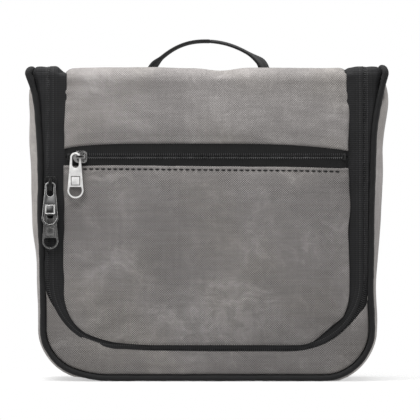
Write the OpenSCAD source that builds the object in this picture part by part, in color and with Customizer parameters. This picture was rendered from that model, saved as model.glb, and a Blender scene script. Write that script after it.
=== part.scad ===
/* [Bag] */
// Width of the front at the waist
waist_w = 251; // [230:1:280]
// Width of the front across the top corners
top_w = 270; // [255:1:300]
// Height of the body without its handle
body_h = 233; // [200:1:280]
// Depth from the front panel to the back panel
body_d = 88; // [70:1:120]
// Radius of the bottom corners
corner_r = 37; // [28:1:45]
// Distance that the side walls stand out past the front seam at mid height
side_bulge = 2; // [0:0.5:4]
// Height of the flared part of the side seams under the top corners
flare_h = 42; // [30:1:60]
// Extra half width that the side seams gain below the flare
lean = 3; // [0:0.5:5]
// Thickness of a padded wall
wall_t = 2.4; // [1.6:0.1:3]
// Diameter of the piping
piping_d = 4.5; // [3:0.1:6]

/* [Flap] */
// Width of the zip band between the flap and the side seam at the waist
side_band = 18.5; // [18:0.5:24]
// Radius of the lower corners of the flap
flap_r = 40; // [25:1:48]
// Height of the lower edge of the flap above the base
flap_z = 27; // [24:0.5:45]
// Radius of the curve where the lower front panel meets the zip
panel_r = 62; // [50:1:70]
// Height of the lower front panel at its middle
panel_h = 22.5; // [12:0.5:23]
// Thickness of the flap from its face to its lining
flap_t = 4.8; // [4.6:0.1:6]
// Thickness of the outer fabric of the flap
shell_t = 2; // [1.5:0.1:2.2]
// Thickness of a lining sheet
lining_t = 0.6; // [0.4:0.1:0.8]

/* [Zips] */
// Width of the visible zip band of the front pocket
pocket_band = 17.5; // [15:0.5:22]
// Height of the coil of the front pocket zip above the base
pocket_z = 168; // [140:1:185]
// Thickness of a zip tape
tape_t = 0.8; // [0.6:0.1:1]
// Width of one closed coil
coil_w = 4.8; // [4:0.1:5.4]
// Distance of a tape's edge from the middle of its coil
tape_in = 1.8; // [1.6:0.1:2]
// Thickness of a coil
coil_t = 1.6; // [1.2:0.1:1.8]
// Distance of the main coil outside the edge of the flap
coil_out = 10; // [8:0.5:11]

/* [Sliders] */
// Length of a slider body
slider_l = 10.4; // [9:0.1:12]
// Width of a slider body
slider_w = 9; // [8:0.1:9.6]
// Thickness of a slider plate
plate_t = 1.3; // [1:0.1:1.5]
// Height of the upper main slider above the base
upper_slider_z = 148; // [140:1:160]
// Distance between the centres of the two main sliders
slider_gap = 16; // [15:0.5:20]
// Length of a pull tab from its pivot to its end
tab_l = 33; // [28:1:36]
// Width of a pull tab at its open end
tab_w = 12; // [10:0.5:14]
// Thickness of a pull tab
tab_t = 1.4; // [1.2:0.1:1.5]
// Angle at which the upper pull tab rests on the lower slider
tab_lean = 16; // [16:1:22]

/* [Handle] */
// Distance between the outer faces of the two feet of the carry handle
handle_span = 98; // [80:1:120]
// Height of the carry handle above the body
handle_h = 23; // [18:1:40]
// Width of the handle webbing
webbing_w = 16; // [14:1:25]
// Thickness of the handle webbing
webbing_t = 3; // [2:0.1:4]

/* [Hook] */
// Height of the hook's pivot above the base
hook_z = 68; // [66:1:72]
// Inner radius of the hook
hook_r = 11; // [9:0.5:12]
// Diameter of the hook's rod
hook_d = 3.4; // [3:0.1:3.6]
// Straight length of the hook between its eye and its bend
hook_stem = 24; // [15:0.5:28]
// Width of the hook's eye
eye_w = 26; // [22:1:30]

/* [Hidden] */
$fn = 48;

seam = 0.1;            // gap between two pieces that are sewn together
kink = 0.4;            // half gap between two lengths of piping that meet at an angle
play = 0.4;            // gap round a coil inside a slider
front_y = -body_d / 2; // face of the lower front panel
back_y = body_d / 2;   // face of the back panel
band_in = piping_d + seam;
gusset_y = body_d / 2 - piping_d * 0.7; // how far the walls between the two pipings reach
piping_y = body_d / 2 - piping_d * 0.17;
top_z = body_h - 2;    // height of the seams round the top opening
over_top = 1.1 * body_h; // where cuts that run out of the top end

flap_w = waist_w - 2 * side_band;

// levels of the main zip, from its back to its face
tape_y = front_y + 0.6;
coil_y = tape_y - tape_t;
// levels of the flap
flap_y = front_y - 3.6;
flap_back_y = flap_y + flap_t;
flap_hw = flap_w / 2;
coil_hw = flap_hw + coil_out;
panel_out = 7;         // distance of the lower panel's curve outside the coil
panel_hw = coil_hw + panel_out;
coil_r = (flap_r + panel_r) / 2;
coil_z = (flap_z + panel_h) / 2;
corner_gap = 1.3;      // gap where the front and the top of the flap meet
lining_y = flap_back_y - lining_t;
flap_top_in = 1.2;     // gap at the back hinge
top_tape_z = top_z - tape_t / 2;
top_coil_z = top_tape_z + tape_t;
top_shell_z = body_h - 1.4;

pocket_tape_y = flap_y + shell_t;
pocket_coil_y = pocket_tape_y - tape_t;
zip_end = 4;           // distance of a zip's stops inside the flap's edge
lip = 2.4;             // turned edge round the flap

arch_gap = 2.2;        // room under the bridge of a slider
arch_t = 1.3;
arch_l = 8;
arch_w = 2.4;
post_l = 1.5;
wedge_end = 4;         // distance from a slider's mouth to where the closed coil begins
mouth_w = 2.2;         // half width of the gap between the two open coils
cut_l = 10;            // length of small cuts that run right through
waist_r = 4;           // radius of the waist in a slider's sides
waist_x = 1.6;         // distance of that waist's middle past the slider's end
waist_y = 2.6;         // distance of that waist's middle outside the slider's nose

coil_end = 8;          // distance from the back seam to the end of the main coil
handle_x = 2;
foot_h = 30;
eye_room = 5;          // distance of the hook strap's edges inside the hook's eye
strap_hw = eye_w / 2 - eye_room;
strap_l = 34;
strap_t = 1.2;
foot_in = 7;           // distance that the handle's feet start below the top
hook_pivot_y = flap_back_y + 3.8;

field_x = -0.5;        // where the sunk fields of a slider begin
field_w = 1.5;
field_t = 0.35;
mark_w = 7;            // square frame that is sunk into the face of a pull tab
mark_line = 0.6;
mark_t = 0.3;
tab_drop = 1.2;        // how far the pocket's tab hangs down on its post
rib_pitch = 1.5;       // turns of the pocket zip's coil
rib_gap = 0.5;
rib_t = 0.5;

// outline of the bag seen from the front, set in by a distance
module outline(inset, bulge) {
    waist = waist_w / 2 + bulge - inset;
    mid = waist + lean;
    top = top_w / 2 - inset;
    polygon([
        [-top, top_z], [-mid, top_z - flare_h], [-waist, corner_r], [-waist + corner_r - inset, inset],
        [waist - corner_r + inset, inset], [waist, corner_r], [mid, top_z - flare_h], [top, top_z]
    ]);
    for (side = [-1, 1])
        translate([side * (waist + inset - corner_r), corner_r])
            circle(r = corner_r - inset);
}

// an upright U: half width, corner radius, height of its foot
module u_shape(half, r, foot, top) {
    translate([-half, foot + r])
        square([2 * half, top - foot - r]);
    translate([-half + r, foot])
        square([2 * (half - r), r + 1]);
    for (side = [-1, 1])
        translate([side * (half - r), foot + r])
            circle(r = r);
}

// a flat sheet that stands upright between two depths
module upright(y0, y1) {
    translate([0, y1, 0])
        rotate([90, 0, 0])
            linear_extrude(height = y1 - y0)
                children();
}

module slab(x0, x1, y0, y1, z0, z1) {
    translate([x0, y0, z0])
        cube([x1 - x0, y1 - y0, z1 - z0]);
}

module rod(from, to, d) {
    v = to - from;
    translate(from)
        rotate([0, acos(v[2] / norm(v)), atan2(v[1], v[0])])
            cylinder(h = norm(v), d = d);
}

// walls between the two pipings
module wall_ring(inset, t) {
    upright(-gusset_y, gusset_y)
        difference() {
            outline(inset, side_bulge);
            outline(inset + t, side_bulge);
        }
}

module gusset(side) {
    color("dimgray")
        intersection() {
            wall_ring(0, wall_t);
            slab(side > 0 ? waist_w / 2 - corner_r + seam : -top_w, side > 0 ? top_w : -waist_w / 2 + corner_r - seam,
                -body_d, body_d, -1, top_z - piping_d / 2 - seam);
        }
}

module left_gusset() {
    gusset(-1);
}

module right_gusset() {
    gusset(1);
}

module bottom_gusset() {
    half = waist_w / 2 - corner_r;
    color("dimgray")
        slab(-half, half, -gusset_y, gusset_y, 0, wall_t);
}

module back_panel() {
    color("dimgray")
        upright(back_y - wall_t, back_y)
            intersection() {
                outline(band_in, 0);
                translate([-top_w, 0])
                    square([2 * top_w, top_z - piping_d / 2 - seam]);
            }
}

// part of the front above the lower panel, set in by a distance
module band_region(inset) {
    u_shape(panel_hw - inset, panel_r, panel_h + inset, over_top);
    translate([-top_w, panel_h + panel_r])
        square([2 * top_w, body_h]);
}

module lower_front_panel() {
    color("dimgray")
        upright(front_y, front_y + wall_t)
            difference() {
                outline(band_in, 0);
                band_region(0);
            }
}

// piping round the sides and the bottom at one depth
module piping_u(y) {
    r = piping_d / 2;
    waist = waist_w / 2 - r;
    mid = waist + lean;
    top = top_w / 2 - r;
    kink_z = top_z - flare_h;
    foot = waist_w / 2 - corner_r;
    for (side = [-1, 1]) {
        rod([side * waist, y, corner_r + seam], [side * mid, y, kink_z - kink], piping_d);
        rod([side * mid, y, kink_z + kink], [side * top, y, top_z], piping_d);
        translate([side * foot, y, corner_r])
            rotate([90, 0, 0])
                rotate([0, 0, side > 0 ? -90 : 180])
                    rotate_extrude(angle = 90)
                        translate([corner_r - r, 0])
                            circle(d = piping_d);
    }
    rod([seam - foot, y, r], [foot - seam, y, r], piping_d);
}

module front_piping() {
    color("black") {
        piping_u(-piping_y);
        for (side = [-1, 1])
            rod([side * (top_w - piping_d) / 2, kink - piping_y + piping_d / 2, top_z],
                [side * (top_w - piping_d) / 2, piping_y - piping_d / 2 - kink, top_z], piping_d);
    }
}

module back_piping() {
    color("black")
        piping_u(piping_y);
}

module back_top_binding() {
    half = top_w / 2 - piping_d * 1.5;
    color("black")
        slab(-half, half, back_y - wall_t, back_y, top_z - piping_d / 2, top_z);
}

module back_lining() {
    color("silver")
        upright(gusset_y, gusset_y + lining_t)
            intersection() {
                outline(band_in, 0);
                translate([-top_w, 0])
                    square([2 * top_w, top_z - piping_d / 2 - seam]);
            }
}

module base_board() {
    half = waist_w / 2 - corner_r - seam;
    color("gray")
        slab(-half, half, -gusset_y + 2, gusset_y - 4, wall_t + seam, wall_t + seam + 1.5);
}

mesh_hw = 96;
back_mesh_z = 22;
back_mesh_h = 130;
mesh_bind = 7;

// edge binding round a mesh pocket
module binding_frame(half, z0, h, y0, y1) {
    upright(y0, y1)
        translate([-half, z0])
            difference() {
                square([2 * half, h]);
                translate([mesh_bind, mesh_bind])
                    square([2 * (half - mesh_bind), h - 2 * mesh_bind]);
            }
}

module back_mesh_pocket() {
    y = gusset_y - seam - 1.2;
    color("darkgray")
        slab(-mesh_hw, mesh_hw, y - seam - 0.4, y - seam, back_mesh_z, back_mesh_z + back_mesh_h);
}

module back_mesh_binding() {
    color("black")
        binding_frame(mesh_hw, back_mesh_z, back_mesh_h, gusset_y - seam - 1.2, gusset_y - seam);
}

// main zip: the tape and the coil half that are sewn to the body
module body_zip_tape() {
    color("black") {
        upright(coil_y, tape_y)
            difference() {
                intersection() {
                    outline(band_in, 0);
                    band_region(seam);
                }
                u_shape(coil_hw + tape_in, coil_r + tape_in, coil_z - seam, 2 * over_top);
            }
        for (side = [-1, 1])
            mirror([side < 0 ? 1 : 0, 0, 0])
                slab(coil_hw + tape_in, top_w / 2 - band_in, tape_y + seam, back_y - wall_t - seam,
                    top_tape_z, top_coil_z);
    }
}

// one half of the main coil, between two U lines
module coil_u(out0, out1, foot0, foot1, y0, y1, top) {
    upright(y0, y1)
        difference() {
            u_shape(coil_hw + out1, coil_r + out1, coil_z - foot1, top);
            u_shape(coil_hw + out0, coil_r + out0, coil_z - foot0, top + 1);
        }
}

// room that the open coil leaves between the mouths of the two main sliders
module mouth_gap() {
    z1 = upper_slider_z - slider_l / 2 + wedge_end;
    z0 = upper_slider_z - slider_gap + slider_l / 2 - wedge_end;
    slab(-coil_hw - mouth_w, -coil_hw + mouth_w, front_y - cut_l, front_y + cut_l, z0, z1);
}

module body_coil() {
    color("dimgray")
        difference() {
            union() {
                coil_u(seam, coil_w / 2, seam, coil_w / 4, coil_y - coil_t, coil_y, top_z - 1);
                for (side = [-1, 1])
                    mirror([side < 0 ? 1 : 0, 0, 0])
                        slab(coil_hw + seam, coil_hw + coil_w / 2, tape_y + seam, back_y - wall_t - coil_end,
                            top_coil_z, top_coil_z + coil_t);
            }
            mouth_gap();
        }
}

module zip_end_tabs() {
    color("black")
        for (side = [-1, 1])
            translate([side * coil_hw, 0, 0])
                slab(-coil_w / 2, coil_w / 2, back_y - wall_t - coil_end + kink, back_y - wall_t - seam,
                    top_coil_z + seam, top_coil_z + seam + 1.4);
}

// webbing handle: an arch of one radius on two flat feet
module carry_handle() {
    half = handle_span / 2;
    arch_rise = handle_h + foot_in;
    arc_r = (half * half + arch_rise * arch_rise) / (2 * arch_rise);
    arc_z = body_h + handle_h - arc_r;
    foot_z = body_h - foot_in;
    color("black")
        translate([handle_x, back_y, 0]) {
            intersection() {
                translate([0, 2 + webbing_w, arc_z])
                    rotate([90, 0, 0])
                        rotate_extrude($fn = 96)
                            translate([arc_r - webbing_t, 0])
                                square([webbing_t, webbing_w]);
                slab(-half, half, 0, 4 + webbing_w, foot_z, body_h + handle_h + 1);
            }
            for (side = [-1, 1])
                mirror([side < 0 ? 1 : 0, 0, 0])
                    slab(half - webbing_w, half - seam, seam, 3, foot_z - foot_h, foot_z + 4);
        }
}

// top of the flap, which turns on the back seam
module flap_top_panel() {
    color("gray")
        slab(-flap_hw, flap_hw, flap_y + flap_t, back_y - wall_t + seam + 0.2, top_shell_z, top_shell_z + shell_t);
}

module flap_top_lining() {
    color("silver")
        slab(-flap_hw + lip, flap_hw - lip, flap_y + flap_t, back_y - wall_t - flap_top_in,
            top_shell_z - seam - lining_t, top_shell_z - seam);
}

module flap_top_tape() {
    color("black")
        for (side = [-1, 1])
            mirror([side < 0 ? 1 : 0, 0, 0])
                slab(flap_hw + seam, coil_hw - tape_in, tape_y + seam, back_y - wall_t - flap_top_in,
                    top_tape_z, top_coil_z);
}

module flap_top_coil() {
    color("dimgray")
        for (side = [-1, 1])
            mirror([side < 0 ? 1 : 0, 0, 0])
                slab(coil_hw - coil_w / 2, coil_hw - seam, tape_y + seam, back_y - wall_t - coil_end,
                    top_coil_z, top_coil_z + coil_t);
}

// outline of the flap's front, set in by a distance
module flap_outline(inset) {
    u_shape(flap_hw - inset, flap_r - inset, flap_z + inset, top_shell_z - corner_gap);
}

// one panel of the flap with its turned edge, between two heights
module flap_shell(z0, z1) {
    upright(flap_y, lining_y - seam)
        intersection() {
            difference() {
                flap_outline(0);
                flap_outline(lip);
            }
            translate([-flap_w, z0])
                square([2 * flap_w, z1 - z0]);
        }
    upright(flap_y, flap_y + shell_t)
        intersection() {
            flap_outline(0);
            translate([-flap_w, z0])
                square([2 * flap_w, z1 - z0]);
        }
}

module upper_panel() {
    color("gray")
        flap_shell(pocket_z + pocket_band / 2, top_shell_z - corner_gap);
}

module pocket_panel() {
    color("gray")
        flap_shell(flap_z - 1, pocket_z - pocket_band / 2);
}

module pocket_lining() {
    color("silver")
        upright(lining_y - seam - 0.4, lining_y - seam)
            intersection() {
                flap_outline(lip + seam);
                translate([-flap_w, flap_z])
                    square([2 * flap_w, pocket_z + pocket_band - flap_z]);
            }
}

module pocket_tape(side) {
    z0 = side > 0 ? pocket_z + tape_in : pocket_z - pocket_band / 2 + seam;
    z1 = side > 0 ? pocket_z + pocket_band / 2 - seam : pocket_z - tape_in;
    color("black")
        slab(-flap_hw, flap_hw, pocket_coil_y, pocket_tape_y, z0, z1);
}

module pocket_tape_upper() {
    pocket_tape(1);
}

module pocket_tape_lower() {
    pocket_tape(-1);
}

pocket_slider_x = -flap_hw + zip_end + 2 + slider_l / 2 + 1;

module pocket_coil() {
    from = pocket_slider_x + 1;
    to = flap_hw - zip_end - 3;
    color("dimgray")
        difference() {
            for (side = [-1, 1])
                slab(from, to, pocket_coil_y - coil_t, pocket_coil_y - 0.02,
                    pocket_z + (side > 0 ? seam : -coil_w / 2), pocket_z + (side > 0 ? coil_w / 2 : -seam));
            // grooves between the turns of the coil
            for (x = [from + rib_pitch : rib_pitch : to - rib_pitch])
                slab(x, x + rib_gap, pocket_coil_y - coil_t - 1, pocket_coil_y - coil_t + rib_t,
                    pocket_z - coil_w, pocket_z + coil_w);
        }
}

module pocket_zip_stops() {
    color("silver")
        for (side = [-1, 1])
            translate([side * (flap_hw - zip_end), 0, 0])
                slab(-1.2, 1.2, pocket_coil_y - coil_t, pocket_coil_y - 0.02,
                    pocket_z - coil_w / 2, pocket_z + coil_w / 2);
}

module flap_lining() {
    color("silver")
        upright(lining_y, flap_back_y)
            flap_outline(seam);
}

module flap_zip_tape() {
    color("black")
        upright(coil_y, tape_y)
            difference() {
                u_shape(coil_hw - tape_in, coil_r - tape_in, coil_z + seam, top_z - corner_gap - 1);
                u_shape(flap_hw + seam, flap_r + seam, flap_z - seam, over_top);
            }
}

module flap_coil() {
    color("dimgray")
        difference() {
            coil_u(-coil_w / 2, -seam, -coil_w / 4, -seam, coil_y - coil_t, coil_y, top_z - corner_gap - 1);
            mouth_gap();
        }
}

flap_mesh_z = 80;
flap_mesh_h = 140;

module flap_mesh_pocket() {
    y = flap_back_y + seam + 0.8;
    color("darkgray")
        slab(-mesh_hw, mesh_hw, y + seam, y + seam + 0.3, flap_mesh_z, flap_mesh_z + flap_mesh_h);
}

module flap_mesh_binding() {
    color("black")
        binding_frame(mesh_hw, flap_mesh_z, flap_mesh_h, flap_back_y + seam, flap_back_y + seam + 0.8);
}

// webbing tab on the lining with a loop round the hook's eye bar
module hook_strap() {
    loop_r = hook_d / 2 + 0.3;
    y1 = flap_back_y + seam;
    color("black")
        difference() {
            union() {
                slab(-strap_hw, strap_hw, y1, y1 + strap_t, hook_z - strap_l, hook_z);
                slab(-strap_hw, strap_hw, y1, hook_pivot_y, hook_z, hook_z + loop_r + strap_t);
                translate([-strap_hw, hook_pivot_y, hook_z])
                    rotate([0, 90, 0])
                        cylinder(h = 2 * strap_hw, r = loop_r + strap_t);
            }
            translate([-eye_w, hook_pivot_y, hook_z])
                rotate([0, 90, 0])
                    cylinder(h = 2 * eye_w, r = loop_r);
        }
}

// rod hook: an eye bar, two shoulders, a stem and an open bend
module hanging_hook() {
    y = hook_pivot_y;
    eye_h = 7;
    shoulder_h = 6;
    neck_z = hook_z - eye_h - shoulder_h;
    bend_z = neck_z - hook_stem;
    bend_r = hook_r + hook_d / 2;
    corner = [eye_w / 2 - hook_d / 2, y, hook_z];
    color("black") {
        rod([-corner[0], y, hook_z], corner, hook_d);
        for (side = [-1, 1]) {
            translate([side * corner[0], y, hook_z])
                sphere(d = hook_d);
            rod([side * corner[0], y, hook_z], [side * corner[0], y, hook_z - eye_h], hook_d);
            translate([side * corner[0], y, hook_z - eye_h])
                sphere(d = hook_d);
            rod([side * corner[0], y, hook_z - eye_h], [0, y, neck_z], hook_d);
        }
        translate([0, y, neck_z])
            sphere(d = hook_d);
        rod([0, y, neck_z], [0, y, bend_z], hook_d);
        translate([-bend_r, y, bend_z])
            rotate([90, 0, 0])
                rotate([0, 0, -180])
                    rotate_extrude(angle = 180)
                        translate([bend_r, 0])
                            circle(d = hook_d);
        translate([-2 * bend_r, y, bend_z])
            sphere(d = hook_d);
    }
}

// plate of a slider with a round nose
module slider_plate(y, t, nose) {
    translate([nose - slider_l / 2, y + t, 0])
        rotate([90, 0, 0])
            cylinder(h = t, r = nose);
    translate([nose - slider_l / 2, y, 0.05 - nose])
        cube([slider_l - nose, t, 2 * nose - 0.1]);
}

// slider body: its travel runs along X, its mouth faces -X, its face looks along -Y, its coil lies at y = 0
module slider_body() {
    half_l = slider_l / 2;
    throat = coil_t / 2 + play;
    nose = slider_w / 2;
    difference() {
        union() {
            slider_plate(-throat - plate_t, plate_t, nose);
            slider_plate(throat + tape_t, plate_t * 0.8, nose);
            for (side = [-1, 1])
                translate([nose - half_l, -throat - plate_t, side * (nose - 0.55) - 0.5])
                    cube([slider_l - nose, plate_t + throat * 1.4, 1]);
        }
        for (side = [-1, 1]) {
            translate([half_l + waist_x, -cut_l / 2, side * (nose + waist_y)])
                rotate([-90, 0, 0])
                    cylinder(h = cut_l, r = waist_r);
            // sunk field on each side of the bridge
            translate([field_x, -throat - plate_t - 1, side * (nose + arch_w / 2) / 2 - field_w / 2])
                cube([half_l - field_x - 0.8, 1 + field_t, field_w]);
        }
    }
    // wedge that parts the two coil halves
    translate([-half_l + 1.6, -throat - plate_t, 0])
        rotate([-90, 0, 0])
            cylinder(h = 2 * throat + tape_t + plate_t * 1.8, r = 1.5);
    // bridge that carries the pull tab
    for (end = [-1, 1])
        translate([end * (arch_l - post_l) / 2 - post_l / 2, -throat - plate_t - arch_gap - arch_t / 2, -arch_w / 2])
            cube([post_l, arch_gap + arch_t, arch_w]);
    translate([-arch_l / 2, -throat - plate_t - arch_gap - arch_t, -arch_w / 2])
        cube([arch_l, arch_t, arch_w]);
}

slider_face = coil_t / 2 + play + plate_t; // from a coil's centre to its slider's face
tab_lift = slider_face + arch_gap / 2;     // from a coil's centre to its pull tab's centre
main_coil_mid = coil_y - coil_t / 2;
pocket_coil_mid = pocket_coil_y - coil_t / 2;
post_x = (arch_l - post_l) / 2; // from a slider's centre to the post that its tab turns on
hole_r = 2.6;
hole_l = 5;
slot_r = hole_r - 0.05;
ring_t = 1.4;

// pull tab that hangs down: its eye bar lies at the origin, its faces look along Y
module tab_disc(x, z, r) {
    translate([x, tab_t / 2, z])
        rotate([90, 0, 0])
            cylinder(h = tab_t, r = r);
}

module tab_hole(z, r) {
    translate([0, tab_t, z])
        rotate([90, 0, 0])
            cylinder(h = 2 * tab_t, r = r);
}

module tab_field(w) {
    translate([-w / 2, 0, -w / 2])
        cube([w, 2 * mark_t, w]);
}

module pull_tab() {
    top_half = hole_r + ring_t;
    end_half = tab_w / 2;
    end_z = -tab_l + end_half;
    loop_r = end_half - 1.2;
    flare = 0.05; // keeps the straight sides off the tangent of the round ends
    difference() {
        union() {
            tab_disc(0, -hole_r, top_half);
            translate([0, tab_t / 2, 0])
                rotate([90, 0, 0])
                    linear_extrude(height = tab_t)
                        polygon([
                            [flare - top_half, -hole_r - 0.4], [top_half - flare, -hole_r - 0.4],
                            [end_half - flare, end_z], [flare - end_half, end_z]
                        ]);
            tab_disc(0, end_z, end_half);
        }
        tab_hole(-hole_r, hole_r);
        translate([-slot_r, -tab_t, -hole_r - hole_l])
            cube([2 * slot_r, 2 * tab_t, hole_l]);
        tab_hole(-hole_r - hole_l, hole_r);
        intersection() {
            tab_hole(end_z, loop_r);
            translate([-end_half, -tab_t, end_z - end_half])
                cube([tab_w, 2 * tab_t, end_half + 2.5]);
        }
        // sunk square frame on the face
        translate([0, -tab_t / 2 - mark_t, end_z + loop_r - 1.2 + mark_w / 2])
            difference() {
                tab_field(mark_w);
                tab_field(mark_w - 2 * mark_line);
            }
    }
}

module pocket_slider() {
    color("silver")
        translate([pocket_slider_x, pocket_coil_mid, pocket_z])
            slider_body();
}

module pocket_pull_tab() {
    color("silver")
        translate([pocket_slider_x - post_x, pocket_coil_mid - tab_lift, pocket_z + post_x - tab_drop])
            pull_tab();
}

module main_slider(z, mouth) {
    color("silver")
        translate([-coil_hw, main_coil_mid, z])
            rotate([0, mouth * 90, 0])
                slider_body();
}

module upper_slider() {
    main_slider(upper_slider_z, -1);
}

module lower_slider() {
    main_slider(upper_slider_z - slider_gap, 1);
}

module upper_pull_tab() {
    color("silver")
        translate([-coil_hw, main_coil_mid - tab_lift, upper_slider_z])
            rotate([-tab_lean, 0, 0])
                pull_tab();
}

module lower_pull_tab() {
    color("silver")
        translate([-coil_hw, main_coil_mid - tab_lift, upper_slider_z - slider_gap])
            pull_tab();
}

back_panel();
left_gusset();
right_gusset();
bottom_gusset();
lower_front_panel();
front_piping();
back_piping();
back_top_binding();
back_lining();
base_board();
back_mesh_pocket();
back_mesh_binding();
body_zip_tape();
body_coil();
zip_end_tabs();
carry_handle();
flap_top_panel();
flap_top_lining();
flap_top_tape();
flap_top_coil();
upper_panel();
pocket_panel();
pocket_lining();
pocket_tape_upper();
pocket_tape_lower();
pocket_coil();
pocket_zip_stops();
flap_lining();
flap_zip_tape();
flap_coil();
flap_mesh_pocket();
flap_mesh_binding();
hook_strap();
hanging_hook();
pocket_slider();
pocket_pull_tab();
upper_slider();
upper_pull_tab();
lower_slider();
lower_pull_tab();
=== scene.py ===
import math

import bmesh
import bpy
import numpy as np
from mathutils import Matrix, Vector, noise


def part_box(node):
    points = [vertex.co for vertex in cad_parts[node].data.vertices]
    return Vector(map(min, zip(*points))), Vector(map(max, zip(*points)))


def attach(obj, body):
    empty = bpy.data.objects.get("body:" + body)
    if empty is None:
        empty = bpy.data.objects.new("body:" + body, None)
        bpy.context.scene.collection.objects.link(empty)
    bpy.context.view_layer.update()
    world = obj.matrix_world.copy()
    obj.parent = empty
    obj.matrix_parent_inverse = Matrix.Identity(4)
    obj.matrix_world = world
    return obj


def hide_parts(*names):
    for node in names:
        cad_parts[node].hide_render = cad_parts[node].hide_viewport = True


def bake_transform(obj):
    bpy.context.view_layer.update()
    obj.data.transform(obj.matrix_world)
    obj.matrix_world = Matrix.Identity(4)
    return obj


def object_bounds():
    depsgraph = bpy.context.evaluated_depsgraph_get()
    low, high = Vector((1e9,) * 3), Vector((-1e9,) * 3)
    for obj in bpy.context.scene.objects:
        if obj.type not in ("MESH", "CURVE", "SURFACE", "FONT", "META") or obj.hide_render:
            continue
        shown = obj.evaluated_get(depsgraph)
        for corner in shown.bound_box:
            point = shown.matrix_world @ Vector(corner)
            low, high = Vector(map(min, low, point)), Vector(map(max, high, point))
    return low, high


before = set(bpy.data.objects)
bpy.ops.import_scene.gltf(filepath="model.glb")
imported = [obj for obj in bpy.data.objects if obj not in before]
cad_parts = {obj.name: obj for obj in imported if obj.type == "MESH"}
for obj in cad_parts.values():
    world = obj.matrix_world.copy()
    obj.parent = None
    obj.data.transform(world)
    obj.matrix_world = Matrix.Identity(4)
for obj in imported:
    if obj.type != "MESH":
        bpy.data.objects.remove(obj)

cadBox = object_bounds()
scene = bpy.context.scene
mm = 0.001
print("frame loaded:", len(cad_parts), "nodes")


def metres(value):
    return tuple(metres(part) for part in value) if isinstance(value, tuple) else value * mm


def sizes(**values):
    # a dictionary of lengths that are given in millimetres
    return {key: metres(value) for key, value in values.items()}


class Wire:
    # a shader socket that can be used in plain arithmetic
    def __init__(self, nodes, socket):
        self.nodes, self.socket = nodes, socket

    def maths(self, operation, first, second=None):
        values = {"at0": first} if second is None else {"at0": first, "at1": second}
        return self.nodes.node("ShaderNodeMath", {"operation": operation}, **values)

    __add__ = lambda self, other: self.maths("ADD", self, other)
    __radd__ = lambda self, other: self.maths("ADD", other, self)
    __sub__ = lambda self, other: self.maths("SUBTRACT", self, other)
    __rsub__ = lambda self, other: self.maths("SUBTRACT", other, self)
    __mul__ = lambda self, other: self.maths("MULTIPLY", self, other)
    __rmul__ = lambda self, other: self.maths("MULTIPLY", other, self)
    power = lambda self, exponent: self.maths("POWER", self, exponent)
    lowest = lambda self, other: self.maths("MINIMUM", self, other)
    highest = lambda self, other: self.maths("MAXIMUM", self, other)
    sine = lambda self: self.maths("SINE", self)
    absolute = lambda self: self.maths("ABSOLUTE", self)

    def between(self, low, high):
        # 0 below low, 1 above high, smooth in between
        settings = {"interpolation_type": "SMOOTHSTEP"}
        return self.nodes.node("ShaderNodeMapRange", settings, Value=self, From_Min=low, From_Max=high)


class Nodes:
    # makes and links the nodes of one tree
    def __init__(self, tree):
        self.tree = tree

    def node(self, kind, settings=None, output=0, **values):
        # at0, at1 and so on are sockets by number, other names are the sockets' own
        node = self.tree.nodes.new(kind)
        for key, value in (settings or {}).items():
            setattr(node, key, value)
        for key, value in values.items():
            slot = node.inputs[int(key[2:]) if key.startswith("at") else key.replace("_", " ")]
            if isinstance(value, Wire):
                self.tree.links.new(value.socket, slot)
            else:
                slot.default_value = value
        return Wire(self, node.outputs[output])

    def axes(self, vector):
        split = self.node("ShaderNodeSeparateXYZ", at0=vector)
        return [Wire(self, out) for out in split.socket.node.outputs]

    def clouds(self, vector, scale, detail=4, roughness=0.55, stretch=None):
        if stretch:
            vector = self.node("ShaderNodeVectorMath", {"operation": "MULTIPLY"}, at0=vector, at1=stretch)
        return self.node("ShaderNodeTexNoise", Vector=vector, Scale=scale, Detail=detail, Roughness=roughness)

    def mix(self, factor, first, second, blend="MIX"):
        settings = {"data_type": "RGBA", "blend_type": blend}
        return self.node("ShaderNodeMix", settings, 2, at0=factor, at6=first, at7=second)

    def bump(self, height, strength, distance, under=None):
        below = {"Normal": under} if under else {}
        return self.node("ShaderNodeBump", Height=height, Strength=strength, Distance=distance, **below)


class Finish(Nodes):
    # one material; its constants go on the shader's own sockets
    def __init__(self, name, **constants):
        self.material = bpy.data.materials.new(name)
        self.material.use_nodes = True
        super().__init__(self.material.node_tree)
        self.shader = self.tree.nodes["Principled BSDF"]
        for key, value in constants.items():
            self.shader.inputs[key.replace("_", " ")].default_value = value

    def cloth(self):
        # flat coordinates of the cloth in metres: as a vector, along and across
        vector = self.node("ShaderNodeUVMap", {"uv_map": "cloth"})
        return vector, *self.axes(vector)[:2]

    def feed(self, **wires):
        for key, wire in wires.items():
            self.tree.links.new(wire.socket, self.shader.inputs[key.replace("_", " ")])


def grey(value):
    return (value, value, value, 1)


# the worn coat; rub is one paler place: across, up, half its width, half its height
canvasLook = {"base": (0.208, 0.194, 0.188, 1), "dark": (0.098, 0.091, 0.088, 1),
              "light": (0.43, 0.408, 0.398, 1), "deep": (0.045, 0.040, 0.038, 1),
              "high": (0.60, 0.57, 0.56, 1), "warm": (1.0, 0.99, 0.93, 1), "veinScale": 30, "veinShare": 0.36,
              "slub": 0.26, "twillPitch": 0.0017, "twillDepth": 0.00025, "rub": (0.014, 0.052, 0.05, 0.032)}


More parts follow.
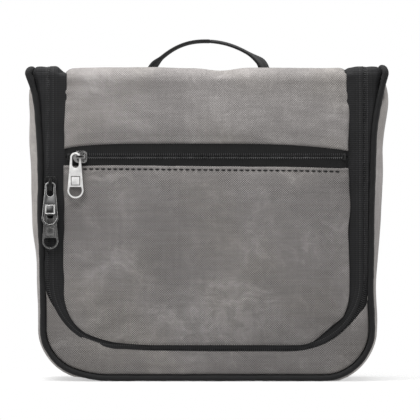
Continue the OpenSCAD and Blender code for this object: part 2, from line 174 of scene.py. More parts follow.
def canvasFinish(name, paintedLight, weaveShare, rub=None):
    # the light level given after the name lightens or darkens the whole piece: painted light on pieces that
    # face the lamps, painted shade on pieces in shadow; weaveShare is how clearly its twill shows
    look = canvasLook
    finish = Finish(name, Roughness=0.72, Sheen_Weight=0.06, Sheen_Roughness=0.5, Specular_IOR_Level=0.3)
    cloth, u, v = finish.cloth()
    swirl = finish.node("ShaderNodeTexNoise", None, 1, Vector=cloth, Scale=19.0, Detail=3.0)
    warp = finish.node("ShaderNodeVectorMath", {"operation": "SCALE"}, at0=swirl, Scale=0.055)
    drift = finish.node("ShaderNodeVectorMath", {"operation": "ADD"}, at0=cloth, at1=warp)
    patches = finish.clouds(drift, 24, 6, 0.66)
    fineVeins = finish.clouds(drift, 85, 3, 0.6)
    # thin pale crackle where the coat has cracked
    ridge = 1 - ((finish.clouds(drift, look["veinScale"], 3, 0.55) - 0.5).absolute() * 26).lowest(1)
    fineRidge = 1 - ((fineVeins - 0.5).absolute() * 15).lowest(1)
    worn = patches.between(0.44, 0.68)
    # soft brushed streaks
    slant = finish.node("ShaderNodeMapping", Vector=drift, Rotation=(0, 0, -0.55), Scale=(0.32, 1, 1))
    wisps = finish.clouds(slant, 75, 4, 0.68).between(0.5, 0.74)
    rubbed = finish.clouds(cloth, 15, 2, 0.5).between(0.46, 0.66)
    pale = (ridge.power(1.6) * worn * look["veinShare"] + fineRidge.power(1.5) * worn * 0.2
            + patches.between(0.5, 0.78) * 0.36 + wisps * (0.14 + rubbed * 0.56))
    if rub:
        across, up, wide, high = rub
        sides = ((u - across) * (1 / wide)).absolute().power(2)
        spot = 1 - (sides + ((v - up) * (1 / high)).absolute().power(2)).lowest(1)
        pale = pale + spot * (wisps * 0.6 + fineVeins.between(0.4, 0.6) * 0.4 + 0.12)
    tone = (finish.clouds(cloth, 9, 3, 0.6) * 0.6 + patches * 0.4).between(0.34, 0.64)
    colour = finish.mix(pale.lowest(1), finish.mix(tone, look["dark"], look["base"]), look["light"])
    warmer = finish.clouds(cloth, 13, 2, 0.5).between(0.42, 0.62)
    colour = finish.mix(warmer, colour, look["warm"], "MULTIPLY")
    # the twill: two sets of slanted ribs, clearer in some places, with grain and thicker threads
    turn = 2 * math.pi / look["twillPitch"]
    sway = (finish.clouds(cloth, 240, 2, 0.5) - 0.5) * 1.6
    right = ((u + v) * turn + sway).sine()
    left = ((u - v) * turn + sway).sine()
    weave = right * 0.5 + left * 0.5 + (right * left) * 0.25
    strength = 0.14 + finish.clouds(cloth, 38, 4, 0.65).between(0.40, 0.64) * 1.1
    grain = finish.clouds(cloth, 1300, 2, 0.6)
    slub = finish.clouds(cloth, 420, 3, 0.6, (0.09, 1, 1)) * 0.6
    slub = slub + finish.clouds(cloth, 380, 3, 0.6, (1, 0.12, 1)) * 0.4
    level = weave * strength * weaveShare + (grain - 0.5) * 0.44 + (slub - 0.5) * look["slub"] * 2
    level = (level + 0.5).highest(0).lowest(1)
    colour = finish.mix(level, finish.mix(0.62, colour, look["deep"]), finish.mix(0.4, colour, look["high"]))
    # the whole colour is scaled by the piece's light level: painted light and shade
    finish.feed(Base_Color=finish.mix(1.0, colour, (paintedLight, paintedLight, paintedLight, 1), "MULTIPLY"),
                Roughness=0.66 + tone * 0.1 - ridge * 0.08,
                Normal=finish.bump(patches, 0.5, 0.0007, finish.bump(weave, 0.5, look["twillDepth"])))
    return finish.material


def tapeFinish(name, pitch, depth, base, light, across=False, sheen=0.2, seams=()):
    # woven tape: fine ribs along it, crossed by the weft; seams are sewn lines: (way in, brightness)
    finish = Finish(name, Roughness=0.74, Sheen_Weight=sheen, Sheen_Roughness=0.4, Specular_IOR_Level=0.35)
    cloth, u, v = finish.cloth()
    along = (v if across else u) * (2 * math.pi / pitch)
    weft = (u if across else v) * (2 * math.pi / (pitch * 0.55))
    ribs = along.sine() * 0.6 + (weft + along).sine() * 0.4
    dust = finish.clouds(cloth, 60, 4, 0.6)
    colour = finish.mix((ribs * 0.25 + dust * 0.9).between(0.1, 0.95), base, light)
    for place, brightness in seams:
        dash = (u * (2 * math.pi / 0.0015)).sine().between(-0.5, 0.5)
        line = (1 - ((v - place).absolute() * 2200).lowest(1)) * dash
        # beside each sewn line a darker line: painted shade of the groove that the stitches pull into the
        # tape
        grooveShade = 1 - ((v - place - 0.0007).absolute() * 1800).lowest(1)
        colour = finish.mix(grooveShade * 0.7, colour, grey(0.002))
        colour = finish.mix(line * brightness, colour, grey(0.2))
    finish.feed(Base_Color=colour, Roughness=0.66 + dust * 0.2, Normal=finish.bump(ribs, 0.6, depth))
    return finish.material


def plasticFinish(name, base, light, roughness):
    finish = Finish(name, Specular_IOR_Level=0.5)
    place = finish.node("ShaderNodeTexCoord", None, "Object")
    wear = finish.clouds(place, 130, 4, 0.6)
    finish.feed(Base_Color=finish.mix(wear.between(0.35, 0.75), base, light),
                Roughness=roughness + (wear - 0.5) * 0.2,
                Normal=finish.bump(finish.clouds(place, 900, 3, 0.6), 0.25, 0.0001))
    return finish.material


def nickelFinish(name, tint, roughness, metallic=1.0):
    # a lower metallic share makes the metal a near white diffuse surface: a painted highlight, brighter than
    # the metal's own reflections
    finish = Finish(name, Metallic=metallic, Anisotropic=0.2)
    place = finish.node("ShaderNodeTexCoord", None, "Object")
    smear = finish.clouds(place, 240, 4, 0.6)
    scratch = finish.clouds(place, 900, 3, 0.7, (1, 1, 0.12))
    finish.feed(Base_Color=finish.mix(smear.between(0.3, 0.8) * 0.6, tint, grey(tint[0] * 0.5)),
                Roughness=roughness + smear * 0.1 + scratch.between(0.55, 0.8) * 0.12,
                Normal=finish.bump(scratch, 0.12, 0.00006))
    return finish.material


def liningFinish():
    finish = Finish("nylonLining", Roughness=0.5, Sheen_Weight=0.1, Specular_IOR_Level=0.4)
    cloth, u, v = finish.cloth()
    turn = 2 * math.pi / 0.0011
    folds = finish.clouds(cloth, 22, 3, 0.6)
    weave = finish.bump((u * turn).sine() * (v * turn).sine(), 0.4, 0.00012, finish.bump(folds, 0.4, 0.002))
    # the colour is lighter on the crests of the folds and darker in their hollows: painted light and shade of
    # the folds
    colour = finish.mix(folds.between(0.3, 0.7), (0.085, 0.085, 0.09, 1), (0.14, 0.14, 0.147, 1))
    finish.feed(Base_Color=colour, Roughness=0.42 + folds * 0.2, Normal=weave)
    return finish.material


def meshFinish():
    # open net: the holes are cut with alpha
    finish = Finish("nylonMesh", Roughness=0.6, Specular_IOR_Level=0.4)
    cloth, u, v = finish.cloth()
    turn = 2 * math.pi / 0.0026
    hole = (((u + v) * turn).sine() * ((u - v) * turn).sine()).absolute()
    finish.feed(Alpha=1 - hole.between(0.18, 0.3),
                Base_Color=finish.mix(hole, (0.05, 0.05, 0.053, 1), (0.014, 0.014, 0.015, 1)))
    return finish.material


# four copies of one canvas that differ by painted light: the pocket and back painted a little darker, the
# roll over the top painted lighter as the lamps fall on it, the lower front painted darker as it lies under
# the flap, the side walls painted lighter as light falls on them from the sides
canvas = canvasFinish("pocketCanvasPaintedShade", 0.9, 0.8, canvasLook["rub"])
rollCanvasPaintedLight = canvasFinish("rollCanvasPaintedLight", 1.16, 0.5)
bodyCanvasPaintedShade = canvasFinish("bodyCanvasPaintedShade", 0.76, 0.7)
sideCanvasPaintedLight = canvasFinish("sideCanvasPaintedLight", 1.4, 0.5)
webbing = tapeFinish("blackWebbing", 0.0019, 0.0003, (0.006, 0.006, 0.0065, 1), (0.022, 0.022, 0.023, 1),
                     True, 0.05)
zipTape = tapeFinish("zipTape", 0.0015, 0.00014, (0.0045, 0.0045, 0.005, 1), (0.0165, 0.0165, 0.018, 1),
                     sheen=0.02, seams=((0.0027, 0.22), (0.0055, 0.05)))
pocketTape = tapeFinish("pocketTape", 0.0015, 0.00014, grey(0.003), (0.009, 0.009, 0.0095, 1), sheen=0.0)
pipingCloth = tapeFinish("pipingCloth", 0.0009, 0.0001, (0.003, 0.003, 0.0032, 1), (0.015, 0.015, 0.016, 1),
                         sheen=0.04)
stitchThread = tapeFinish("stitchThread", 0.0005, 0.00008, grey(0.006), grey(0.02), sheen=0.04)
coilNylon = plasticFinish("coilNylon", (0.012, 0.012, 0.0125, 1), (0.034, 0.034, 0.036, 1), 0.42)
# the pocket coil's lower half is painted much lighter than its upper half, which keeps about the plain
# nylon's colour: painted glints along its teeth
coilPaintedGlint = plasticFinish("coilPaintedGlint", (0.08, 0.08, 0.081, 1), (0.2, 0.2, 0.202, 1), 0.3)
dimCoil = plasticFinish("dimCoil", (0.01, 0.01, 0.0105, 1), (0.035, 0.035, 0.036, 1), 0.4)
hookNylon = plasticFinish("hookNylon", (0.012, 0.012, 0.013, 1), (0.024, 0.024, 0.025, 1), 0.38)
boardGrey = plasticFinish("boardGrey", (0.06, 0.06, 0.062, 1), grey(0.1), 0.7)
# near white with little metallic share: painted highlight, on the pocket's tab and on the rims of the sliders
# and tabs
nickel = nickelFinish("nickelPaintedHighlight", (0.98, 0.97, 0.955, 1), 0.3, 0.22)
sliderNickel = nickelFinish("sliderNickel", (0.62, 0.61, 0.60, 1), 0.12)
darkNickel = nickelFinish("darkNickel", (0.34, 0.335, 0.33, 1), 0.2, 0.85)
blackMetal = nickelFinish("blackMetal", grey(0.07), 0.25)
lining = liningFinish()
net = meshFinish()
print("finishes made")


def meshObject(name, points, faces, material, flat):
    # flat: where each point lies on the uncut cloth, in metres
    mesh = bpy.data.meshes.new(name)
    mesh.from_pydata([tuple(p) for p in points], [], faces)
    mesh.update()
    layer = mesh.uv_layers.new(name="cloth")
    ids = np.zeros(len(mesh.loops), np.int32)
    mesh.loops.foreach_get("vertex_index", ids)
    layer.data.foreach_set("uv", np.array([(q[0], q[1]) for q in flat], np.float32)[ids].ravel())
    mesh.shade_smooth()
    mesh.materials.append(material)
    made = bpy.data.objects.new(name, mesh)
    scene.collection.objects.link(made)
    return made


def thicken(made, thickness, offset=-1.0):
    # gives a sheet its thickness in plain vertices
    solid = made.modifiers.new("thickness", "SOLIDIFY")
    solid.thickness, solid.offset, solid.use_even_offset = thickness, offset, False
    bpy.context.view_layer.update()
    mesh = bpy.data.meshes.new_from_object(made.evaluated_get(bpy.context.evaluated_depsgraph_get()))
    made.modifiers.clear()
    old, made.data = made.data, mesh
    bpy.data.meshes.remove(old)
    return made


def edged(made, material, test):
    # a second finish for the faces that test picks by their centre and normal
    made.data.materials.append(material)
    for face in made.data.polygons:
        if test(face.center, face.normal):
            face.material_index = 1
    return made


def ringFaces(base, rings, sides):
    # the faces between rings of points that follow one another from base
    faces = []
    for first in range(base, base + rings * sides, sides):
        for n in range(sides):
            a, b = first + n, first + (n + 1) % sides
            faces.append((a, b, b + sides, a + sides))
    return faces


def gridObject(name, rows, material, flat):
    # rows of points of one length, joined as quads; flat is rows of places, or makes a place from a point
    count = len(rows[0])
    points = [p for row in rows for p in row]
    faces = [(a, a + 1, a + 1 + count, a + count)
             for j in range(len(rows) - 1) for a in range(j * count, (j + 1) * count - 1)]
    places = [flat(p) for p in points] if callable(flat) else [q for row in flat for q in row]
    return meshObject(name, points, faces, material, places)


def upright(point):
    # the flat place of a point on an upright panel
    return point[0], point[2]


def reworked(made, change):
    # edits the mesh by hand and turns all its faces outwards
    work = bmesh.new()
    work.from_mesh(made.data)
    change(work)
    bmesh.ops.recalc_face_normals(work, faces=work.faces)
    work.to_mesh(made.data)
    work.free()
    made.data.shade_smooth()
    return made


def skirt(made, move):
    # grows the open border of a panel by one row; move gives the place of each new point
    def grow(work):
        border = [e for e in work.edges if e.is_boundary]
        grown = bmesh.ops.extrude_edge_only(work, edges=border)["geom"]
        for vert in (g for g in grown if isinstance(g, bmesh.types.BMVert)):
            vert.co = move(vert.co)

    return reworked(made, grow)


def lengthAlong(points):
    total, out = 0.0, [0.0]
    for a, b in zip(points, points[1:]):
        total += (Vector(b) - Vector(a)).length
        out.append(total)
    return out


def runAlong(pairs):
    # the way travelled up to each point of a flat path
    out = [0.0]
    for (a, b), (c, d) in zip(pairs, pairs[1:]):
        out.append(out[-1] + math.hypot(c - a, d - b))
    return out


def segmentAt(run, distance):
    # the segment in which a distance along a path lies
    return min(max(int(np.searchsorted(run, distance)) - 1, 0), len(run) - 2)


def tube(name, path, radius, material, sides, wobble, fuller=None):
    # a round cord along a path; fuller gives a share of the radius at a point
    path = [Vector(p) for p in path]
    run = lengthAlong(path)
    turns = [2 * math.pi * k / sides for k in range(sides + 1)]
    rows, flat = [], []
    up = None
    for i, point in enumerate(path):
        ahead = (path[min(i + 1, len(path) - 1)] - path[max(i - 1, 0)]).normalized()
        if up is None:
            up = ahead.orthogonal().normalized()
        up = (up - ahead * up.dot(ahead)).normalized()
        side = ahead.cross(up)
        grow = radius * (1 + wobble * noise.noise(point * 160)) * (fuller(point) if fuller else 1)
        rows.append([point + up * (grow * math.cos(t)) + side * (grow * math.sin(t)) for t in turns])
        flat.append([(run[i], radius * t) for t in turns])

    def close(work):
        bmesh.ops.remove_doubles(work, verts=work.verts, dist=1e-7)
        bmesh.ops.holes_fill(work, edges=[e for e in work.edges if e.is_boundary], sides=0)

    return reworked(gridObject(name, rows, material, flat), close)


def joinAs(name, parts):
    # several meshes of one material made into one piece
    work = bmesh.new()
    for part in parts:
        work.from_mesh(part.data)
    for part in parts[1:]:
        old = part.data
        bpy.data.objects.remove(part)
        bpy.data.meshes.remove(old)
    work.to_mesh(parts[0].data)
    work.free()
    parts[0].name = parts[0].data.name = name
    return parts[0]


def placed(made, body, slotName, *nodes):
    # body is one body, to which the piece is attached, or a tuple of two bodies and two points, with which
    # the piece stays unattached where it is
    if isinstance(body, tuple):
        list(body)
        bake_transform(made)
    else:
        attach(made, body)
    if nodes:
        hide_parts(*nodes)
    return made


def rippled(point, scale, height, seed):
    return noise.noise(Vector(point) * scale + Vector((seed, seed * 1.7, -seed))) * height


def smooth(x):
    x = min(max(x, 0.0), 1.0)
    return x * x * (3 - 2 * x)


def ramp(value, start, span):
    # 0 below start, 1 a span above it, smooth in between; start and span are in millimetres
    return smooth((value - start * mm) / (span * mm))


def bell(distance, reach):
    return math.exp(-(distance / reach) ** 2)


def bumpsAt(bumps, place):
    # sum of bumps: (where, reach, height)
    return sum(out * bell(place - middle, reach) for middle, reach, out in bumps)


stitchForm = sizes(end=4, below=3.0, pitch=4.5, dash=3.5, thread=0.62)


def stitches(name, path, out):
    # a row of dashes lying on a path; out is the way off the cloth
    pitch, dash, thread = stitchForm["pitch"], stitchForm["dash"], stitchForm["thread"]
    path = [Vector(p) for p in path]
    run = lengthAlong(path)
    off = Vector(out).normalized()
    rings, sides = 7, 6
    points, faces, flat = [], [], []
    distance = pitch * 0.3
    while distance + dash < run[-1]:
        faces += ringFaces(len(points), rings - 1, sides)
        for k in range(rings):
            share = k / (rings - 1)
            place = distance + dash * share
            i = segmentAt(run, place)
            point = path[i].lerp(path[i + 1], (place - run[i]) / max(run[i + 1] - run[i], 1e-9))
            side = (path[i + 1] - path[i]).normalized().cross(off).normalized()
            arch = math.sin(math.pi * share)
            centre = point + off * (thread * (0.95 * arch - 0.45))
            wide = thread * (0.55 + 0.45 * arch)
            for n in range(sides):
                turn = 2 * math.pi * n / sides
                points.append(centre + side * (wide * math.cos(turn)) + off * (wide * 0.8 * math.sin(turn)))
                flat.append((place, thread * n))
        distance += pitch
    return meshObject(name, points, faces, stitchThread, flat)


print("builders ready")


clothLook = {"frames": 20, "stiffness": 14, "bending": 0.6, "mass": 0.25, "quality": 6, "slack": 0.0006}


def eased(made, held, pressure, cap):
    # lets a panel find its own shape by simulation; held says which points are sewn down
    mesh = made.data
    start = [v.co.copy() for v in mesh.vertices]
    sewn = [v.index for v in mesh.vertices if held(v.index, v.co)]
    made.vertex_groups.new(name="seam").add(sewn, 1.0, "REPLACE")
    cloth = made.modifiers.new("cloth", "CLOTH")
    look = cloth.settings
    look.quality, look.mass = clothLook["quality"], clothLook["mass"]
    look.bending_stiffness = clothLook["bending"]
    look.tension_stiffness = look.compression_stiffness = clothLook["stiffness"]
    look.vertex_group_mass = "seam"
    look.use_pressure, look.uniform_pressure_force = True, pressure
    look.shrink_min = -clothLook["slack"]
    look.effector_weights.gravity = 0
    cloth.collision_settings.use_collision = False
    cloth.point_cache.frame_end = clothLook["frames"]
    for step in range(1, clothLook["frames"] + 1):
        scene.frame_set(step)
    shape = made.evaluated_get(bpy.context.evaluated_depsgraph_get()).data
    moved = [v.co - p for v, p in zip(shape.vertices, start)]
    made.modifiers.clear()
    made.vertex_groups.clear()
    for vert, old, way in zip(mesh.vertices, start, moved):
        vert.co = old + way * (cap / (cap + way.length))
    scene.frame_set(1)
    print(f"{made.name} eased, {max(w.length for w in moved) * 1000:.1f} mm at most")
    return made


pocketLow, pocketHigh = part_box("pocket_panel")
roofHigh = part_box("flap_top_panel")[1]
pipeLow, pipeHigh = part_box("front_piping")
coilLow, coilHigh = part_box("body_coil")
flapCoilLow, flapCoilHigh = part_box("flap_coil")
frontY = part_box("lower_front_panel")[0].y
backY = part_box("back_panel")[1].y
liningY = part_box("flap_lining")[0].y
flapY, flapHalf, flapFoot = pocketLow.y, pocketHigh.x, pocketLow.z
coilHalf = (coilHigh.x + flapCoilHigh.x) / 2 - 0.4 * mm
coilFoot = (coilLow.z + flapCoilLow.z) / 2
roofZ, hingeY = roofHigh.z, roofHigh.y
pipeRadius = 2.25 * mm
zipZ = (pocketHigh.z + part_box("upper_panel")[0].z) / 2

bagForm = sizes(waistHalf=125.0, lean=3.5, flare=7.0, flareFrom=70, flareTop=232, corner=37, bulge=5.0,
                bulgeZ=160, bulgeReach=80, crown=1.4)
flapForm = sizes(corner=40, edge=2.6, puff=1.6, ripple=0.55, shoulder=10, edgeWave=0.5, edgeDrift=0.9,
                 cornerCut=4.8, cutHigh=20, foot=((-80, 15, 2.6), (-62, 14, 0.7)))
bandForm = sizes(panelCorner=62, panelFoot=22.5, panelCentreZ=84.5, coilCorner=51, topZ=235.6, topBend=7)


def sideHalf(z):
    share = max((z - bagForm["flareFrom"]) / (bagForm["flareTop"] - bagForm["flareFrom"]), 0)
    return bagForm["waistHalf"] + bagForm["lean"] * share + bagForm["flare"] * share ** 7


# how far each side stands out at a height; the left lower corner is rounder
bagSway = sizes(left=((220, 20, -1.0), (170, 18, -0.5), (122, 16, 0.8)),
                right=((210, 17, 1.3), (40, 22, 1.5)), rightWall=((204, 20, 1.8),), cornerLift=2.7)


def settled(point, wall=False):
    # moves a point of the outline with the way the bag stands
    x, z = point[0], point[2]
    near = ramp(abs(x), 84, 30)
    if x < 0:
        dx = -bumpsAt(bagSway["left"], z)
        lift = bagSway["cornerLift"] * ramp(-x, 76, 22) * (1 - ramp(z, 15, 40))
    else:
        dx = bumpsAt(bagSway["right"], z) + (bumpsAt(bagSway["rightWall"], z) if wall else 0)
        lift = 0
    return Vector((x + dx * near, point[1], z + lift))


def uPath(width, corner, foot, top, sideSteps, cornerSteps, footSteps):
    # an upright U in the front plane from the top left round to the top right; width gives half its width
    heights = [top + (foot + corner - top) * k / sideSteps for k in range(sideSteps)]
    left = [(-width(z), z, -1.0, 0.0) for z in heights]
    centre = width(foot + corner) - corner
    for k in range(cornerSteps):
        turn = math.pi / 2 * k / cornerSteps
        left.append((-centre - corner * math.cos(turn), foot + corner - corner * math.sin(turn),
                     -math.cos(turn), -math.sin(turn)))
    base = [(-centre + 2 * centre * k / footSteps, foot, 0.0, -1.0) for k in range(footSteps + 1)]
    return left + base + [(-x, z, -nx, nz) for x, z, nx, nz in reversed(left)]


def flapWidth(z):
    # half width of the flap at a height
    over = flapForm["corner"] - (z - flapFoot)
    if over <= 0:
        return flapHalf
    return flapHalf - flapForm["corner"] + math.sqrt(max(flapForm["corner"] ** 2 - over ** 2, 0))


def cornerCut(z, side):
    # the right lower corner is folded flatter than a true arc
    share = (z - flapFoot - 0.3 * mm) / flapForm["cutHigh"]
    return flapForm["cornerCut"] * math.sin(math.pi * share) if 0 < share < 1 and side > 0 else 0.0


def footLift(x, z):
    # the left end of the flap's lower edge rises early
    return bumpsAt(flapForm["foot"], x) * (1 - ramp(z - flapFoot, 0, 30))


def flapEdge(x, z):
    # distance inside the flap's outline
    corner = flapForm["corner"]
    dx, dz = abs(x) - (flapHalf - corner), (flapFoot + corner) - z
    if dx > 0 and dz > 0:
        return corner - math.hypot(dx, dz)
    return min(flapHalf - abs(x), z - flapFoot)


def turned(distance, edge):
    # how far a turned edge has curved back at a distance from the outline
    share = min(max(distance / edge, 0), 1)
    return edge * (1 - math.sqrt(max(1 - (1 - share) ** 2, 0)))


def clustered(count, ends):
    # shares 0..1 that crowd towards both ends
    shares = [k / count for k in range(count + 1)]
    return [t + ends * (0.5 - 0.5 * math.cos(math.pi * t) - t) for t in shares]


def flapDepth(x, z):
    # face of the flap's front: puffed, uneven and turned back at its outline
    inside = flapEdge(x, z)
    swell = ramp(inside, 0, 34) * flapForm["puff"]
    ripple = rippled((x, 0, z), 26, flapForm["ripple"], 3.1)
    ripple += rippled((x * 0.6, 0, z * 1.7), 62, 0.22 * mm, 8.2)
    ripple += rippled((x, 0, z), 130, 0.1 * mm, 5.5)
    return flapY + turned(inside, flapForm["edge"]) - swell - ripple * ramp(inside, 0, 8)


# the edges below and above the pocket's zip, and how they fall towards the sides
lipForm = sizes(below=6.6, tilt=1.0, sag=0.6, above=10.0, leftFall=4.0, rightFall=5.6)


def lipZ(x):
    # top edge of the front pocket
    share = x / flapHalf
    return zipZ - lipForm["below"] - lipForm["tilt"] * share - lipForm["sag"] * abs(share) ** 5


def zipTopZ(x):
    # lower edge of the panel over the pocket's zip
    share = abs(x) / flapHalf
    fall = lipForm["leftFall"] * share ** 6 if x < 0 else lipForm["rightFall"] * share ** 3
    return zipZ + lipForm["above"] - fall


def edgeWave(z, u):
    # the sewn side edges are not quite straight; u runs from -1 to 1 across the flap
    side = 1 if u > 0 else -1
    wave = flapForm["edgeWave"] * math.sin(z * 95 + side)
    return side * (wave + rippled((side, 0, z), 60, flapForm["edgeDrift"], 1.0 + side)) * abs(u) ** 12


# tabRoom: the part that stays flat where the lower tab swings over the pocket's edge
pocketForm = sizes(lip=2.0, seam=3.1, seamWide=1.1, seamDip=0.6, fade=30, cap=1.6)
pocketForm |= {"columns": 110, "crowd": 0.85, "cornerRows": 26, "rows": 54, "pressure": 3.0,
               "tabRoom": sizes(x=86, low=90, high=146, fade=8)}


def makePocket():
    corner, low = flapForm["corner"], pocketForm["cornerRows"]
    spread = clustered(pocketForm["columns"], pocketForm["crowd"])
    rows, flat = [], []
    for k in range(low + 1 + pocketForm["rows"]):
        share = (k - low) / pocketForm["rows"]
        share += 0.35 * (math.sin(math.pi / 2 * share) - share)
        row, place = [], []
        for t in spread:
            u = 2 * t - 1
            if k <= low:
                height = flapFoot + corner * (1 - math.cos(math.pi / 2 * k / low))
            else:
                height = flapFoot + corner + (lipZ(u * flapHalf) - flapFoot - corner) * share
            wide = flapWidth(height)
            y = flapDepth(u * wide, height)
            x = u * (wide - cornerCut(height, u) * abs(u) ** 3)
            below = lipZ(x) - height
            if y < flapY:
                y = flapY + (y - flapY) * (0.25 + 0.75 * smooth(below / pocketForm["fade"]))
            y += turned(below, pocketForm["lip"]) * 0.9
            y += pocketForm["seamDip"] * bell(below - pocketForm["seam"], pocketForm["seamWide"])
            x += edgeWave(height, u) * ramp(height, 60, 30)
            row.append(Vector((x, y, height + footLift(x, height))))
            place.append((x, height))
        rows.append(row)
        flat.append(place)
    made = gridObject("flapPocket", rows, canvas, flat)
    count, last = len(spread), len(rows) - 1
    heldRows, heldColumns = (0, last - 2, last - 1, last), (0, 1, count - 2, count - 1)
    eased(made, lambda i, p: i // count in heldRows or i % count in heldColumns, pocketForm["pressure"],
          pocketForm["cap"])
    room = pocketForm["tabRoom"]
    for vert in made.data.vertices:
        x, y, z = vert.co
        share = smooth((-x - room["x"]) / room["fade"]) * smooth((z - room["low"]) / room["fade"])
        share *= smooth((room["high"] - z) / room["fade"])
        vert.co.y += (max(y, flapY - 0.05 * mm) - y) * share
    skirt(made, lambda p: (p.x, liningY, p.z))
    return placed(made, "flap_front", "grey_canvas", "pocket_panel")


rollForm = sizes(hingeDrop=1.6, topEdge=7.5, wave=0.8, fineWave=0.3, crease=0.55, pucker=0.5, lean=3.4,
                 foot=10, footEdge=1.4, dip=((11, 13, 2.3),))
rollForm |= {"columns": 120, "crowd": 0.85, "topRows": 34, "bendRows": 18, "frontRows": 40}


def rollProfile():
    # the upper panel's run over the top and down the front: (y, z, turn); turn is 0 on top
    bend, drop = flapForm["shoulder"], rollForm["hingeDrop"]
    crownZ = roofZ + bagForm["crown"]
    points = []
    for k in range(rollForm["topRows"]):
        share = k / rollForm["topRows"]
        y = hingeY + (flapY + bend - hingeY) * share
        points.append((y, roofZ - drop + (crownZ - roofZ + drop) * math.sin(math.pi / 2 * share) ** 0.8, 0.0))
    for k in range(rollForm["bendRows"] + 1):
        turn = math.pi / 2 * k / rollForm["bendRows"]
        points.append((flapY + bend - bend * math.sin(turn), crownZ - bend + bend * math.cos(turn), turn))
    bottom = points[-1][1]
    for k in range(rollForm["frontRows"]):
        share = (k + 1) / rollForm["frontRows"]
        points.append((flapY, bottom + (zipZ + rollForm["foot"] - bottom) * share, math.pi / 2))
    return points, bottom


def rollRipple(u, run, level, onFront):
    # soft waves, creases across the top and puckers along the sewn sides
    x = u * flapHalf
    inside = flapHalf - abs(x)
    ripple = rippled((x, 0, run), 30, rollForm["wave"], 2.2)
    ripple += rippled((x, 0, run * 1.6), 75, rollForm["fineWave"], 6.0)
    bends = x * 70 + run * 45 + 4 * noise.noise(Vector((x * 9, run * 14, 2)))
    ripple += rollForm["crease"] * math.sin(bends) * (1 - level)
    ripple *= ramp(inside, 0, 9)
    pucker = math.sin(run * 560 + 5 * noise.noise(Vector((u, run * 30, 4)))) * math.exp(-inside / (6 * mm))
    return ripple + rollForm["pucker"] * pucker * ramp(inside, 0, 2) * (1 if onFront else 0.4)


def makeRoll():
    profile, bottom = rollProfile()
    runs = runAlong([p[:2] for p in profile])
    first = len(profile) - rollForm["frontRows"]
    rows = []
    for k, ((y0, z0, turn), run) in enumerate(zip(profile, runs)):
        onFront = k >= first
        share = (k - first + 1) / rollForm["frontRows"]
        level = 1 - turn / (math.pi / 2)
        radius = flapForm["edge"] + (rollForm["topEdge"] - flapForm["edge"]) * smooth(level * 1.15)
        hold = ramp(hingeY - y0, 0, 22)
        lean = rollForm["lean"]
        if onFront:
            lean *= smooth((z0 - zipZ - 12 * mm) / (bottom - zipZ - 12 * mm))
        row = []
        for t in clustered(rollForm["columns"], rollForm["crowd"]):
            u = 2 * t - 1
            x = u * flapHalf
            inside = flapHalf - abs(x)
            curl = turned(inside, radius)
            out = ramp(inside, 0, 34) * flapForm["puff"] * (1 - 0.7 * level)
            out += rollRipple(u, run, level, onFront)
            dip = bumpsAt(rollForm["dip"], x) * smooth(level * 2) * hold
            rise = out * math.cos(turn) - curl * math.cos(turn) - dip
            y = y0 + lean - out * math.sin(turn) + curl * math.sin(turn)
            if onFront:
                z = bottom + (zipTopZ(x) - bottom) * share + rise
                over = z - zipTopZ(x)
                y = flapY + (y - flapY) * ramp(over, 0, 14) if y < flapY else y
                y += turned(over, rollForm["footEdge"]) * 0.7
            else:
                z = z0 + rise * hold
            x += edgeWave(z if onFront else bottom + (bottom - z0), u)
            row.append(Vector((x, min(y, hingeY), z)))
        rows.append(row)
    flat = [[(p.x, -run) for p in row] for row, run in zip(rows, runs)]
    made = gridObject("flapRoll", rows, rollCanvasPaintedLight, flat)
    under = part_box("flap_top_lining")[1].z

    def tucked(p):
        # the top's border turns down to the lining
        onTop = p.z > under - 1 * mm and p.y > flapY + 7 * mm
        return p.x, max(p.y, liningY), under - 0.2 * mm if onTop else p.z

    skirt(made, tucked)
    return placed(made, flapFold, "grey_canvas", "flap_top_panel", "upper_panel")


# where the flap turns from its top into its front
flapFold = ("flap_top", "flap_front", (0, flapY + flapForm["shoulder"] + 3 * mm, roofZ),
            (0, flapY + 1 * mm, roofZ - flapForm["shoulder"] - 2 * mm))
pocket = makePocket()
roll = makeRoll()
print("flap made")


# half: columns each side of the middle one; the outermost are the hem, sewn in under the pipings
gussetForm = sizes(thickness=1.6, tuck=2.4, hem=1.0, fold=1.6, sunk=1.2, lowest=1.6, liningZ=120, cap=1.6)
gussetForm |= {"half": 17, "pressure": 3.0}


